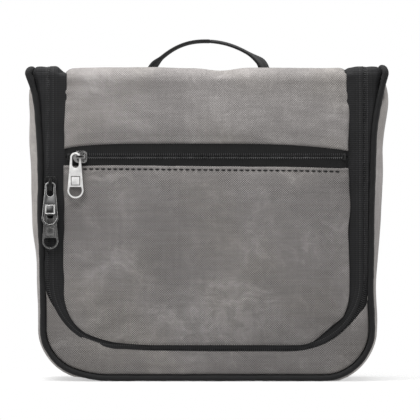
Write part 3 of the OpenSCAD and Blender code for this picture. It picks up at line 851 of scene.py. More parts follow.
def makeGusset():
    # cross sections of the wall between the two pipings, all the way round
    form, half, top = gussetForm, gussetForm["half"], bagForm["flareTop"]
    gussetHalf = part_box("bottom_gusset")[1].y
    path = uPath(sideHalf, bagForm["corner"], 0.0, pipeHigh.z - 2 * mm, 60, 20, 44)
    rows, flat = [], []
    for (x, z, nx, nz), run in zip(path, runAlong([p[:2] for p in path])):
        swell = bagForm["bulge"] * bell(z - bagForm["bulgeZ"], bagForm["bulgeReach"])
        swell *= ramp(z, 12, 50) * ramp(top - z, 0, 26)
        tuck = form["tuck"] * ramp(z, 216, 12)
        row = []
        for k in range(2 * half + 1):
            t = min(max(-1 + 2 * (k - 1) / (2 * half - 2), -1), 1)
            hem = form["hem"] * (abs(k - half) == half)
            if t < 0:
                hem *= 1 - ramp(z, 200, 10)
            y = t * (gussetHalf + 2.3 * hem)
            fold = rippled((x * 0.4, y, z), 34, form["fold"], 4.0) * (1 - t * t)
            fold *= ramp(z, 15, 40) * ramp(top - z, 0, 30)
            sunk = form["sunk"] * (1 - smooth((1 - abs(t)) * gussetHalf / (5 * mm)))
            push = swell * (1 - abs(t) ** 2.6) + min(fold, 1.2 * mm) - sunk - tuck - hem
            row.append(settled((x + nx * push, y, max(z + nz * push, form["lowest"])), abs(t) < 0.96))
            flat.append((run, y))
        rows.append(row)
    made = gridObject("gussetShell", rows, sideCanvasPaintedLight, [flat])
    eased(made, lambda i, p: abs(i % (2 * half + 1) - half) > 14 or p.z < 40 * mm or p.z > 222 * mm,
          form["pressure"], form["cap"])
    thicken(made, form["thickness"], 1.0)

    def inward(centre, normal):
        return normal.dot(Vector((centre.x, 0, centre.z - form["liningZ"])).normalized()) < -0.3

    edged(made, lining, inward)
    return placed(made, "body", "grey_canvas", "left_gusset", "right_gusset", "bottom_gusset")


# left and right: where the opening's edge stands higher or lower
lowerPanelForm = sizes(inset=4.9, thickness=1.6, centre=62.0, hornZ=64, hornIn=4.4,
                       left=((-109, 8, 2.4), (-40, 25, 0.7), (-76, 13, 1.2), (-97, 10, -1.6)),
                       right=((107, 9, 1.6),), leftRise=3.3, rightFall=3.0, swell=1.1, ripple=0.5, lip=1.0,
                       edge=1.9)


def lowerPanelSides():
    # the panel's inner edge along the opening and its outer edge along the piping, point for point
    corner, foot, middle = bandForm["panelCorner"], bandForm["panelFoot"], bandForm["panelCentreZ"]
    bagCorner, inset, centre = bagForm["corner"], lowerPanelForm["inset"], lowerPanelForm["centre"]
    horn = math.acos(min((sideHalf(lowerPanelForm["hornZ"]) - lowerPanelForm["hornIn"] - centre) / corner, 1))
    inner, outer = [], []
    for k in range(41):
        turn = math.pi + horn + (math.pi / 2 - horn) * k / 40
        inner.append((-centre + corner * math.cos(turn), middle + corner * math.sin(turn)))
    side = [(-(sideHalf(z) - inset), z) for z in np.linspace(inner[0][1], bagCorner, 24)]
    for k in range(1, 41):
        turn = math.pi + math.pi / 2 * k / 40
        side.append((-(sideHalf(bagCorner) - bagCorner) + (bagCorner - inset) * math.cos(turn),
                     bagCorner + (bagCorner - inset) * math.sin(turn)))
    side.append((-centre, inset))
    lengths = lengthAlong([(x, 0, z) for x, z in side])
    for k in range(41):
        want = lengths[-1] * k / 40
        i = segmentAt(lengths, want)
        share = (want - lengths[i]) / (lengths[i + 1] - lengths[i])
        outer.append(tuple(a + (b - a) * share for a, b in zip(side[i], side[i + 1])))
    for k in range(1, 30):
        x = -centre + 2 * centre * k / 30
        inner.append((x, foot))
        outer.append((x, inset))
    return [edge + [(-x, z) for x, z in reversed(edge[:41])] for edge in (inner, outer)]


def makeLowerPanel():
    form, rows = lowerPanelForm, []
    for (ix, iz), (ox, oz) in zip(*lowerPanelSides()):
        if ix < 0:
            iz += form["leftRise"] * ramp(-ix, 40, 40) + bumpsAt(form["left"], ix)
        else:
            iz += bumpsAt(form["right"], ix) - form["rightFall"] * ramp(ix, 113, 6)
        wide = math.hypot(ix - ox, iz - oz)
        row = []
        for t in clustered(18, 0.7):
            x, z = ox + (ix - ox) * t, oz + (iz - oz) * t
            swell = form["swell"] * math.sin(math.pi * t) * ramp(wide, 0, 15)
            ripple = rippled((x, 0, z), 45, form["ripple"], 7.0) * math.sin(math.pi * t)
            lip = turned((1 - t) * wide, form["lip"]) * 0.7 + turned(t * wide, form["edge"])
            row.append(settled((x, frontY - 0.5 * mm - swell - ripple + lip, z)))
        rows.append(row)
    made = gridObject("lowerPanel", rows, bodyCanvasPaintedShade, upright)
    skirt(made, lambda p: (p.x, frontY + form["thickness"], p.z))
    return placed(made, "body", "grey_canvas", "lower_front_panel")


backForm = sizes(inset=3.8, swell=3.0, crease=1.1, thickness=1.6, cap=2.0)
backForm |= {"columns": 84, "crowd": 0.6, "cornerRows": 18, "rows": 49, "pressure": -3.0}


def makeBackPanel():
    form, inset = backForm, backForm["inset"]
    foot, corner, top = inset, bagForm["corner"] - inset, pipeHigh.z - 3 * mm
    outline = []
    for k in range(form["cornerRows"] + 1):
        turn = math.pi / 2 * k / form["cornerRows"]
        outline.append((sideHalf(bagForm["corner"]) - bagForm["corner"] + corner * math.sin(turn),
                        foot + corner * (1 - math.cos(turn))))
    for k in range(1, form["rows"] + 1):
        z = foot + corner + (top - foot - corner) * k / form["rows"]
        outline.append((sideHalf(z) - inset, z))
    rows = []
    for half, z in outline:
        row = []
        for t in clustered(form["columns"], form["crowd"]):
            x = (2 * t - 1) * half
            inside = min(half - abs(x), z - foot, 60 * mm)
            swell = form["swell"] * ramp(inside, 0, 55) * ramp(top - z, 0, 45)
            crease = rippled((x, 5, z), 20, form["crease"], 9.0) * ramp(inside, 0, 15)
            row.append(settled((x, backY - 0.4 * mm + swell + crease * 0.6, z)))
        rows.append(row)
    made = gridObject("backPanel", rows, canvas, upright)
    count, last = form["columns"] + 1, len(rows) - 1
    eased(made, lambda i, p: i // count in (0, last) or i % count in (0, count - 1), form["pressure"],
          form["cap"])
    thicken(made, form["thickness"], 1.0)
    return placed(made, "body", "grey_canvas", "back_panel")


def sliderEnd(z):
    # 1 where the lower slider ends its run, 50 mm below its place at rest, and 0 away from it
    low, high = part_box("lower_slider")
    return 1 - ramp(abs(z - (low.z + high.z) / 2 + 50 * mm), 6, 8)


pipingForm = sizes(wander=0.7, curl=1.2, bend=6.5, legIn=2.6, legSag=2.2, legSink=3.4, legBow=1.2,
                   backTuck=2.6, tipIn=4, tipUp=2.4)
pipingForm |= {"leftRise": 0.5, "rightRise": 0.68, "fuller": 0.14, "sides": 16, "wobble": 0.12}


def pipingPath(y, forward):
    # centre of the cord; forward is -1 at the front, 1 at the back
    path = []
    for x, z, nx, nz in uPath(sideHalf, bagForm["corner"], 0.0, bandForm["topZ"] - 5 * mm, 70, 22, 60):
        px, pz = x - nx * pipeRadius, z - nz * pipeRadius
        wander = rippled((px, 0, pz), 18, pipingForm["wander"], 11 + forward) * ramp(pz, 40, 50)
        curl = pipingForm["curl"] * ramp(pz, 205, 24) * (1 if px > 0 else -1)
        if forward < 0 and px < 0 and 66 * mm < pz < 140 * mm:
            # clear of the slider's way, most where it ends its run
            wander = min(wander, -0.15 * mm - 0.4 * mm * sliderEnd(pz))
        path.append(settled((px + wander + curl, y, pz)))
    return path


def pipingLeg(end, far):
    # from the top of the front's cord over the top to the back seam
    inward, bend = -1 if end.x > 0 else 1, pipingForm["bend"]
    rise = pipingForm["rightRise"] if end.x > 0 else pipingForm["leftRise"]
    leg = []
    for k in range(1, 13):
        turn = math.pi / 2 * k / 12
        leg.append(Vector((end.x + inward * pipingForm["legIn"] * (1 - math.cos(turn)),
                           end.y + bend * (1 - math.cos(turn)), end.z + bend * math.sin(turn) * rise)))
    start = leg[-1]
    for k in range(1, 25):
        y, bow = start.y + (far - start.y) * k / 24, math.sin(math.pi * k / 24)
        sag = pipingForm["legSag"] * bow + pipingForm["legSink"] * ramp(y - far, -9, 9)
        leg.append(Vector((start.x + inward * pipingForm["legBow"] * bow, y, start.z - sag)))
    return leg


def makePiping():
    yFront, yBack = pipeLow.y + pipeRadius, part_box("back_piping")[1].y - pipeRadius
    path = pipingPath(yFront, -1)
    legs = [pipingLeg(end, yBack - 1.2 * mm) for end in (path[0], path[-1])]

    def fuller(p):
        gain = pipingForm["fuller"]
        return 1 + gain * ramp(p.z, 218, 12) - (gain * sliderEnd(p.z) if p.x < 0 else 0)

    front = tube("frontPiping", legs[0][::-1] + path + legs[1], pipeRadius, pipingCloth, pipingForm["sides"],
                 pipingForm["wobble"], fuller)
    placed(front, "body", "black_piping", "front_piping")
    path = []
    for point in pipingPath(yBack, 1):
        tuck = pipingForm["backTuck"] * ramp(point.z, 212, 16)
        path.append(point - Vector((tuck * (1 if point.x > 0 else -1), 0, 0)))
    tips = []
    for end in (path[0], path[-1]):
        # each end turns in under the binding of the back seam
        inward, tip = (-1 if end.x > 0 else 1) * pipingForm["tipIn"], []
        for k in range(1, 9):
            turn = math.pi / 2 * k / 8
            way = (inward * (1 - math.cos(turn)), -1.0 * mm * k / 8, pipingForm["tipUp"] * math.sin(turn))
            tip.append(end + Vector(way))
        tips.append(tip)
    back = tube("backPiping", tips[0][::-1] + path + tips[1], pipeRadius, pipingCloth, pipingForm["sides"],
                pipingForm["wobble"])
    placed(back, "body", "black_piping", "back_piping")


gusset = makeGusset()
lowerPanel = makeLowerPanel()
backPanel = makeBackPanel()
makePiping()
print("body made")


def bodyInside(x, z):
    # distance inside the bag's outline
    corner = bagForm["corner"]
    if z < corner:
        dx = abs(x) - (sideHalf(corner) - corner)
        if dx > 0:
            return corner - math.hypot(dx, corner - z)
        return z
    return sideHalf(z) - abs(x)


def seamDrop(y):
    # the tapes fall into the back seam
    return 3.2 * mm * ramp(y - hingeY, -9, 9)


def zipFrames():
    # points along the coil: (place, way out from the flap, way off the surface)
    bend, top = bandForm["topBend"], bandForm["topZ"]
    face = frontY - 0.1 * mm
    path = uPath(lambda z: coilHalf, bandForm["coilCorner"], coilFoot, top - bend, 90, 40, 60)
    made = [(Vector((x, face, z)), Vector((nx, 0, nz)), Vector((0, -1, 0))) for x, z, nx, nz in path]
    legs = []
    for side in (-1, 1):
        leg, out = [], Vector((side, 0, 0))
        for k in range(1, 13):
            turn = math.pi / 2 * k / 12
            place = (side * coilHalf, face + bend * (1 - math.cos(turn)), top - bend + bend * math.sin(turn))
            leg.append((Vector(place), out, Vector((0, -math.cos(turn), math.sin(turn)))))
        start = leg[-1][0]
        for k in range(1, 37):
            y = start.y + (hingeY - 0.6 * mm - start.y) * k / 36
            sag = 1.6 * mm * math.sin(math.pi * k / 36) + 0.5 * mm * math.sin(k * 0.9 + side) * (1 - k / 36)
            leg.append((Vector((start.x, y, start.z - sag - seamDrop(y))), out, Vector((0, 0, 1))))
        legs.append(leg)
    return legs[0][::-1] + made + legs[1]


frames = zipFrames()
coilPath, coilOuts, coilOffs = ([f[n] for f in frames] for n in range(3))

# edge: how near to the piping, or how far in under the flap's edge, the tape reaches
bandTape = sizes(probe=0.4, furthest=26, edge=3.4, underFlap=2.4, thickness=0.8, wave=0.8, bodyArch=1.0,
                 flapArch=0.2, leftFall=4.4, rightFall=1.0, dip=1.4, sink=1.9) | {"steps": 14}


def bandReach(place, way, level, outward):
    # width of the tape at a point of the coil
    reach = 0.0
    while reach < bandTape["furthest"]:
        point = place + way * (reach + bandTape["probe"])
        if outward:
            edge = bodyInside(point.x, bagForm["flareTop"] if level else point.z)
            if edge < bandTape["edge"] or (place.z < 74 * mm and reach > 9 * mm):
                break
        else:
            inside = flapHalf - abs(point.x) if level else flapEdge(point.x, point.z)
            if inside > bandTape["edge" if level else "underFlap"]:
                break
        reach += bandTape["probe"]
    return reach


def makeBand(name, outward):
    # strip of tape from the coil out to the piping, or in under the flap's edge
    rows, flat = [], []
    for (place, out, off), run in zip(frames, lengthAlong(coilPath)):
        level = off.z > 0.5
        way = out if outward else -out
        reach = bandReach(place, way, level, outward)
        row = []
        for k in range(bandTape["steps"] + 1):
            t = k / bandTape["steps"]
            point = place + way * (0.05 * mm + (reach - 0.05 * mm) * t)
            arch = math.sin(math.pi * t)
            wave = rippled(point, 55, bandTape["wave"], 12.0 if outward else 17.0) * arch ** 0.7
            wave += bandTape["bodyArch" if outward else "flapArch"] * arch * (1 if level else 0.5)
            low = 0.0
            if outward:
                low = ramp(80 * mm - place.z, 0, 14)
                wave = wave * (1 - 0.9 * low) - bandTape["sink"] * smooth((t - 0.72) / 0.28) * (1 - low)
                if not level and place.x < 0:
                    wave += (0.35 * mm * t - wave) * sliderEnd(place.z)
                point = point.lerp(settled(point), smooth(t) * (1 - low))
            else:
                fall = bandTape["leftFall" if point.x < 0 else "rightFall"] * smooth((t - 0.3) / 0.5)
                wave -= (fall + bandTape["dip"] * smooth((t - 0.75) / 0.25)) * smooth(off.z * 1.3)
            row.append(point + off * (wave - (0.35 + 1.3 * low) * mm * t))
            flat.append((run, reach * t))
        rows.append(row)
    return thicken(gridObject(name, rows, zipTape, [flat]), bandTape["thickness"])


# the main coil, and the two sides of the pocket's
coilForm = {"main": sizes(reach=2.3, size=0.8, headIn=0.3, lift=-0.2, wire=0.4),
            "upper": sizes(reach=2.8, size=1.0, headIn=0.6, lift=0, wire=0.36),
            "lower": sizes(reach=1.5, size=1.0, headIn=0, lift=0, wire=0.28), "pitch": 1.5 * mm}


def teeth(name, path, outs, offs, side, material, look):
    # one half of a nylon coil: a loop at each step, with its head just past the middle
    pitch, run = coilForm["pitch"], lengthAlong(path)
    rings, sides = 6, 6
    points, faces, flat = [], [], []
    distance = pitch * (0.25 if side > 0 else 0.75)
    while distance < run[-1]:
        i = segmentAt(run, distance)
        share = (distance - run[i]) / max(run[i + 1] - run[i], 1e-9)
        centre = path[i].lerp(path[i + 1], share)
        out = outs[i].lerp(outs[i + 1], share).normalized() * side
        off = offs[i].lerp(offs[i + 1], share).normalized()
        ahead = (path[i + 1] - path[i]).normalized()
        base = len(points)
        for k in range(rings):
            t = k / (rings - 1)
            spot = centre + out * (look["reach"] * t - look["headIn"] * (1 - t))
            spot -= ahead * (side * pitch * 0.25 * t)
            rise = look["size"] * (0.55 + 0.5 * math.sin(math.pi * min(t * 1.25, 1))) * 0.5 + look["lift"]
            thick = look["wire"] * (1.15 if k == 0 else 0.9) * (0.35 if k == rings - 1 else 1)
            for n in range(sides):
                turn = 2 * math.pi * n / sides
                points.append(spot + ahead * (thick * math.cos(turn)) + off * (rise + thick * math.sin(turn)))
                flat.append((distance, look["reach"] * t))
        faces += ringFaces(base, rings - 1, sides) + [tuple(range(base, base + sides))]
        distance += pitch
    return meshObject(name, points, faces, material, flat)


placed(makeBand("bodyBand", True), "body", "zip_tape", "body_zip_tape")
placed(makeBand("flapBand", False), flapFold, "zip_tape", "flap_zip_tape", "flap_top_tape")
bodyTeeth = teeth("bodyTeeth", coilPath, coilOuts, coilOffs, 1, coilNylon, coilForm["main"])
placed(bodyTeeth, "body", "coil", "body_coil")
flapTeeth = teeth("flapTeeth", coilPath, coilOuts, coilOffs, -1, coilNylon, coilForm["main"])
placed(flapTeeth, flapFold, "coil", "flap_coil", "flap_top_coil")

pocketZipForm = sizes(wave=0.35, under=2.2, gap=0.5, endDip=1.6, thickness=0.6, coilIn=3)
pocketZipForm |= {"half": flapHalf - 1.2 * mm, "level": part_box("pocket_tape_upper")[0].y - 0.1 * mm}


def makePocketTape(name, node, edgeZ, sign):
    # one tape, from the coil to under the edge that it is sewn to
    form, half, rows = pocketZipForm, pocketZipForm["half"], []
    for k in range(15):
        t = k / 14
        row = []
        for i in range(91):
            x = -half + 2 * half * i / 90
            near = zipZ + sign * form["gap"]
            z = near + (edgeZ(x) + sign * form["under"] - near) * t
            wave = rippled((x, sign, z), 60, form["wave"], 21.0) * math.sin(math.pi * t)
            dip = form["endDip"] * ramp(abs(x) - half, -4, 4)
            row.append(Vector((x, form["level"] + 0.2 * mm * t - wave + dip, z)))
        rows.append(row)
    made = thicken(gridObject(name, rows, pocketTape, upright), form["thickness"], 0.0)
    placed(made, "flap_front", "zip_tape", node)


def makePocketCoil():
    start, y = pocketZipForm["half"] - pocketZipForm["coilIn"], pocketZipForm["level"] - 0.3 * mm
    path = [Vector((-start + 2 * start * k / 60, y, zipZ)) for k in range(61)]
    ups, offs = [Vector((0, 0, 1))] * len(path), [Vector((0, -1, 0))] * len(path)
    upper = teeth("pocketTeethUpper", path, ups, offs, 1, dimCoil, coilForm["upper"])
    # the lower half takes the lighter coil: painted glints
    lower = teeth("pocketTeethLower", path, ups, offs, -1, coilPaintedGlint, coilForm["lower"])
    placed(upper, "flap_front", "coil", "pocket_coil")
    placed(lower, "flap_front", "coil", "pocket_coil")


def makePocketStitch():
    # a row of stitches under the pocket's lip, laid on the cloth
    half, path = flapHalf - stitchForm["end"], []
    for k in range(140):
        x = -half + 2 * half * k / 139
        z = lipZ(x) - stitchForm["below"]
        hit, place, normal, index = pocket.ray_cast(Vector((x, -1, z)), Vector((0, 1, 0)))
        path.append(Vector((x, place.y if hit else flapY, z)))
    made = stitches("pocketStitch", path, (0, -1, 0))
    placed(made, "flap_front", "black_webbing")


makePocketTape("pocketTapeUpper", "pocket_tape_upper", zipTopZ, 1)
makePocketTape("pocketTapeLower", "pocket_tape_lower", lipZ, -1)
makePocketCoil()
bpy.context.view_layer.update()
makePocketStitch()
print("zips made")


# left and right: each side falls from the top by (fall, its reach, power)
handleForm = sizes(half=47.5, shift=0.4, width=16, apex=259.0, thickness=2.6, footZ=198, turnFrom=238,
                   turnTo=222, lie=3.4, endFall=26)
handleForm |= {"left": (10.4 * mm, 31.5 * mm, 2.35), "right": (7.6 * mm, 29.5 * mm, 2.05)}


def handlePath():
    # a low arch that falls ever more steeply into the feet, which lie flat on the back
    form = handleForm
    low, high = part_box("carry_handle")
    span = form["turnFrom"] - form["turnTo"]
    arch = []
    for k in range(121):
        t = -1 + 2 * k / 120
        x = form["half"] * math.sin(math.pi / 2 * t)
        fall, reach, power = form["left" if x < 0 else "right"]
        drop = fall * (abs(x) / reach) ** power + form["endFall"] * max((abs(t) - 0.66) / 0.34, 0) ** 2.2
        z = max(form["apex"] - drop, form["footZ"])
        arch.append(Vector((x - form["shift"], (low.y + high.y) / 2 + 1 * mm, z)))
    arch = [p for p in arch if p.z > form["turnFrom"] - 4 * mm]
    feet = []
    for start, side in ((arch[0], -1), (arch[-1], 1)):
        foot = []
        for k in range(1, 19):
            z = start.z + (form["footZ"] - start.z) * k / 18
            share = smooth((form["turnFrom"] - 2 * mm - z) / span)
            inward = (form["width"] / 2 - 1.5 * mm) * share
            foot.append(Vector((start.x - side * (inward - 1.2 * mm * (1 - share)),
                                start.y + (backY + form["lie"] - start.y) * share, z)))
        feet.append(foot)
    return feet[0][::-1] + arch + feet[1]


def makeHandle():
    form, path = handleForm, handlePath()
    rows, flat = [], []
    last = len(path) - 1
    for k, (point, run) in enumerate(zip(path, lengthAlong(path))):
        t = -1 + 2 * k / last
        ahead = (path[min(k + 1, last)] - path[max(k - 1, 0)]).normalized()
        normal = Vector((-ahead.z, 0, ahead.x)).normalized()
        if t > 0:
            twist = 0.10 + 0.34 * smooth((t - 0.38) / 0.3)
        else:
            twist = -0.04 - 0.2 * smooth((-t - 0.5) / 0.12) + 0.1 * smooth((-t - 0.62) / 0.2)
        flatten = smooth((form["turnFrom"] - point.z) / (form["turnFrom"] - form["turnTo"]))
        twist *= 1 - flatten
        turn = math.pi / 2 * flatten * (1 if t > 0 else -1)
        across = Vector((0, math.cos(twist), 0)) + normal * math.sin(twist)
        across = across * math.cos(turn) + ahead.cross(across) * math.sin(turn)
        up = across.cross(ahead).normalized()
        thick = form["thickness"] * (0.86 + 0.3 * smooth((abs(t) - 0.3) / 0.4))
        ring = []
        for n in range(28):
            c, s = math.cos(2 * math.pi * n / 28), math.sin(2 * math.pi * n / 28)
            a = abs(c) ** 0.35 * (1 if c > 0 else -1) * form["width"] / 2
            b = abs(s) ** 0.5 * (1 if s > 0 else -1) * thick / 2
            ring.append(point + across * a + up * b)
        rows.append(ring + [ring[0]])
        flat.append([(run, form["width"] * 2 * n / 28) for n in range(29)])
    placed(gridObject("carryHandle", rows, webbing, flat), "body", "black_webbing", "carry_handle")


makeHandle()


def dressed(name, node, material, body, slotName, bevel=0.0):
    # a copy of a frame node with softened edges and its own finish
    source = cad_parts[node]
    mesh = source.data.copy()
    mesh.transform(source.matrix_world)
    made = bpy.data.objects.new(name, mesh)
    scene.collection.objects.link(made)
    mesh.materials.clear()
    mesh.materials.append(material)
    work = bmesh.new()
    work.from_mesh(mesh)
    bmesh.ops.remove_doubles(work, verts=work.verts, dist=1e-6)
    bmesh.ops.dissolve_limit(work, angle_limit=math.radians(0.5), verts=work.verts, edges=work.edges)
    if bevel:
        limit = math.radians(35)
        sharp = [e for e in work.edges if len(e.link_faces) == 2 and e.calc_face_angle(0) > limit]
        bmesh.ops.bevel(work, geom=sharp, offset=bevel, offset_type="OFFSET", segments=2, profile=0.5,
                        affect="EDGES", clamp_overlap=True)
    work.to_mesh(mesh)
    work.free()
    for layer in list(mesh.uv_layers):
        mesh.uv_layers.remove(layer)
    layer = mesh.uv_layers.new(name="cloth")
    for face in mesh.polygons:
        # each face is laid flat along the axis that it looks at
        axis = max(range(3), key=lambda a: abs(face.normal[a]))
        keep = [a for a in range(3) if a != axis]
        for loop in face.loop_indices:
            place = mesh.vertices[mesh.loops[loop].vertex_index].co
            layer.data[loop].uv = [place[a] for a in keep]
    mesh.shade_smooth()
    mesh.set_sharp_from_angle(angle=math.radians(40))
    return placed(made, body, slotName, node)


liningForm = sizes(bend=9.5, slack=1.0, thickness=0.5, inset=2.4)


def makeFlapLining():
    # one nylon sheet under the top and behind the front of the flap
    low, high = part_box("flap_lining")
    netLow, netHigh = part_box("flap_mesh_binding")
    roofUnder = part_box("flap_top_lining")[1].z - 0.6 * mm
    bend, level, start = liningForm["bend"], (low.y + high.y) / 2, hingeY - 1 * mm
    profile = [(start + (level + bend - start) * k / 24, roofUnder, 0) for k in range(25)]
    for k in range(1, 9):
        turn = math.pi / 2 * k / 8
        profile.append((level + bend - bend * math.sin(turn), roofUnder - bend + bend * math.cos(turn), 0))
    top = profile[-1][1]
    for k in range(1, 61):
        share = math.sin(math.pi / 2 * k / 60) * 0.3 + 0.7 * k / 60
        profile.append((level, top + (low.z + 0.6 * mm - top) * share, 1))
    rows, flat = [], []
    for (y, z, onFront), run in zip(profile, runAlong([p[:2] for p in profile])):
        half = (flapWidth(z) if onFront else flapHalf) - liningForm["inset"]
        row = []
        for i in range(61):
            x = (2 * i / 60 - 1) * half * (1 - 0.02 * (1 - onFront))
            slack = rippled((x, 3, run), 30, liningForm["slack"], 31.0) * ramp(half - abs(x), 0, 10)
            if onFront:
                # it lies flat where the net is bound to it
                off = max(abs(x) - netHigh.x, netLow.z - z, z - netHigh.z)
                slack *= ramp(off if off > 0 else -off - 8 * mm, 0, 9)
            row.append(Vector((x, y + max(slack, -0.1 * mm) * onFront, z - abs(slack) * (1 - onFront))))
        rows.append(row)
        flat.append([(p.x, -run) for p in row])
    made = thicken(gridObject("flapInside", rows, lining, flat), liningForm["thickness"], 0.0)
    return placed(made, flapFold, "lining", "flap_lining", "flap_top_lining")


endTabForm = sizes(length=9, over=2.6, width=12.4, thickness=1.3, inset=2.4)


def makeEndTabs():
    # a folded piece of webbing over each end of the main zip, sewn into the back seam
    form, length, over = endTabForm, endTabForm["length"], endTabForm["over"]
    parts = []
    for side in (-1, 1):
        rows = []
        for j in range(15):
            t = j / 14
            y = hingeY - length + (length + over) * t
            row = []
            for i in range(13):
                u = i / 12
                x = side * (coilHalf - form["inset"] + form["width"] * u)
                edge = turned(min(u, 1 - u) * form["width"], 1.2 * mm) * 0.6
                edge += turned(t * length, 1.0 * mm) * 0.5
                fall = seamDrop(y) + 1.6 * mm * smooth((y - hingeY) / over)
                z = bandForm["topZ"] + 1.3 * mm - fall - edge + rippled((x, y, 0), 90, 0.3 * mm, 41.0)
                row.append(Vector((x, y, z)))
            rows.append(row)
        part = gridObject("zipEndTab", rows, webbing, lambda p: (p.x, p.y))
        parts.append(thicken(part, form["thickness"], -1.0 if side > 0 else 1.0))
    placed(joinAs("zipEndTabs", parts), "body", "black_webbing", "zip_end_tabs")


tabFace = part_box("pocket_pull_tab")[0].y
dressed("pocketSlider", "pocket_slider", sliderNickel, "pocket_slider", "nickel", 0.16 * mm)
pocketTab = dressed("pocketTab", "pocket_pull_tab", nickel, "pocket_pull", "nickel", 0.18 * mm)
# the tab's sides and the floor of its recessed square take the darker nickel: painted shade
edged(pocketTab, darkNickel, lambda centre, normal: abs(normal.y) < 0.55 or
      (normal.y < -0.5 and centre.y > tabFace + 0.12 * mm))
# each dark slider and tab gets bright rims: its bevelled faces that slant towards the front take the near
# white nickel, painted highlights along its edges
for piece, node, body, finish in (("upperSlider", "upper_slider", "upper_slider", blackMetal),
                                  ("upperTab", "upper_pull_tab", "upper_pull", blackMetal),
                                  ("lowerSlider", "lower_slider", "lower_slider", blackMetal),
                                  ("lowerTab", "lower_pull_tab", "lower_pull", darkNickel)):
    edged(dressed(piece, node, finish, body, "nickel", 0.2 * mm), nickel,
          lambda centre, normal: 0.35 < abs(normal.y) < 0.9)
dressed("hangingHook", "hanging_hook", hookNylon, "hook", "hook_black")
dressed("hookStrap", "hook_strap", webbing, "flap_front", "black_webbing", 0.25 * mm)
dressed("baseBoard", "base_board", boardGrey, "body", "board", 0.3 * mm)
makeEndTabs()
dressed("pocketZipStops", "pocket_zip_stops", blackMetal, "flap_front", "coil", 0.15 * mm)
dressed("backTopBinding", "back_top_binding", webbing, "body", "black_webbing", 0.3 * mm)
backLining = dressed("backLining", "back_lining", lining, "body", "lining")
pocketLining = dressed("pocketLining", "pocket_lining", lining, "flap_front", "lining")
flapLining = makeFlapLining()
dressed("backMeshBinding", "back_mesh_binding", webbing, "body", "black_webbing", 0.2 * mm)
dressed("flapMeshBinding", "flap_mesh_binding", webbing, "flap_front", "black_webbing", 0.2 * mm)


netForm = sizes(off=0.25, belly=0.45)


def makeNet(name, node, body, towards):
    # net pocket: a single layer that bellies a little
    low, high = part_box(node)
    rows = []
    for j in range(41):
        row = []
        for i in range(61):
            x, z = low.x + (high.x - low.x) * i / 60, low.z + (high.z - low.z) * j / 40
            belly = math.sin(math.pi * i / 60) * math.sin(math.pi * min(j / 40 * 0.62 + 0.1, 1))
            out = towards * (netForm["off"] + netForm["belly"] * belly)
            row.append(Vector((x, (low.y + high.y) / 2 + out, z)))
        rows.append(row)
    made = placed(gridObject(name, rows, net, upright), body, "mesh", node)


makeNet("backNet", "back_mesh_pocket", "body", -1)
makeNet("flapNet", "flap_mesh_pocket", "flap_front", 1)
print("fittings made")

# in metres; lamps: (place, where it points, width, watts); wide: what fits the view at the bag's front
studioLook = {"floorHalf": 4.0, "paper": 0.95, "shadow": 0.6, "shadowFade": (0.05, 0.2), "sky": 0.45,
              "lamps": {"keyLight": ((-0.32, -0.62, 0.92), (0, 0, 0.14), 0.7, 6.6),
                        "fillLight": ((0.9, -1.5, 0.35), (0, 0, 0.1), 1.2, 2.6),
                        "topLight": ((-0.1, -0.05, 1.1), (0, 0, 0.2), 0.9, 10),
                        "leftLight": ((-1.05, 0.12, 0.3), (0, 0, 0.12), 0.6, 3.6),
                        "rightLight": ((1.05, 0.12, 0.3), (0, 0, 0.12), 0.6, 3.8)},
              "card": ((-1.1, -3.4, -0.4), (1.1, -3.4, 1.3)),
              "camera": {"distance": 3.0, "x": 0.0026, "z": 0.1283, "wide": 0.315, "sensor": 36}}


def stagePlane(name, low, high, material):
    # a rectangle between two corners, flat or facing along y
    (left, front, foot), (right, back, top) = low, high
    corners = [low, (right, front, foot), high, (left, back, top)]
    mesh = bpy.data.meshes.new(name)
    mesh.from_pydata(corners, [], [(0, 1, 2, 3)])
    made = bpy.data.objects.new(name, mesh)
    scene.collection.objects.link(made)
    mesh.materials.append(material)
    return made


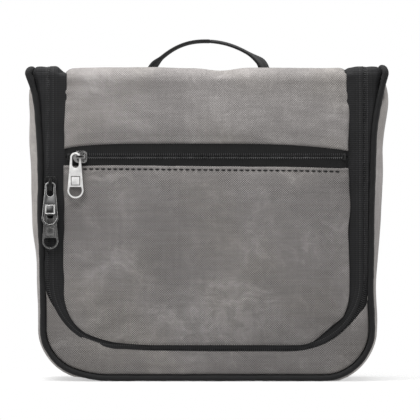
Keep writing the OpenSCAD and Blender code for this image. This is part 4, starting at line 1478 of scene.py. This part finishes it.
def makeFloor():
    # the paper fades out round the bag and keeps its shadow
    look, reach = studioLook, studioLook["floorHalf"]
    paper = Finish("studioPaper", Roughness=0.9, Specular_IOR_Level=0.0, Base_Color=grey(look["paper"]))
    x, y, z = paper.axes(paper.node("ShaderNodeTexCoord", None, "Object"))
    away = ((x * 0.8) * (x * 0.8) + y * y).power(0.5)
    paper.feed(Alpha=look["shadow"] - away.between(*look["shadowFade"]) * look["shadow"])
    floor = stagePlane("studioFloor", (-reach, -reach, 0), (reach, reach, 0), paper.material)
    floor.location.z = cadBox[0].z - 0.3 * mm


def makeSky():
    # white to the camera, softer as light
    world = bpy.data.worlds.new("studio")
    world.use_nodes = True
    scene.world = world
    sky = Nodes(world.node_tree)
    plain = sky.node("ShaderNodeBackground", Color=grey(1), Strength=1.0)
    backdrop = sky.node("ShaderNodeBackground", Color=grey(1), Strength=studioLook["sky"])
    seen = sky.node("ShaderNodeLightPath", None, "Is Camera Ray")
    mixed = sky.node("ShaderNodeMixShader", at0=seen, at1=backdrop, at2=plain)
    sky.tree.links.new(mixed.socket, sky.tree.nodes["World Output"].inputs[0])


def makeLamps():
    for name, (place, aim, size, power) in studioLook["lamps"].items():
        lamp = bpy.data.lights.new(name, "AREA")
        lamp.shape, lamp.size, lamp.energy = "SQUARE", size, power
        made = bpy.data.objects.new(name, lamp)
        scene.collection.objects.link(made)
        made.location = place
        made.rotation_euler = (Vector(aim) - Vector(place)).to_track_quat("-Z", "Y").to_euler()


def makeCard():
    # a dark card behind the camera, seen only in reflections
    felt = Finish("cardFelt", Roughness=1.0, Specular_IOR_Level=0.0, Base_Color=grey(0.01))
    card = stagePlane("darkCard", *studioLook["card"], felt.material)
    card.visible_camera = card.visible_shadow = card.visible_diffuse = False


def makeCamera():
    look = studioLook["camera"]
    lens = bpy.data.cameras.new("mainCamera")
    camera = bpy.data.objects.new("mainCamera", lens)
    scene.collection.objects.link(camera)
    camera.location = (look["x"], -look["distance"], look["z"])
    camera.rotation_euler = (math.radians(90), 0, 0)
    lens.sensor_width = look["sensor"]
    lens.lens = look["sensor"] * (look["distance"] + frontY) / look["wide"]
    lens.clip_end = 20
    scene.camera = camera


makeFloor()
makeSky()
makeLamps()
makeCard()
makeCamera()
scene.view_settings.view_transform = "Standard"
print("scene ready")
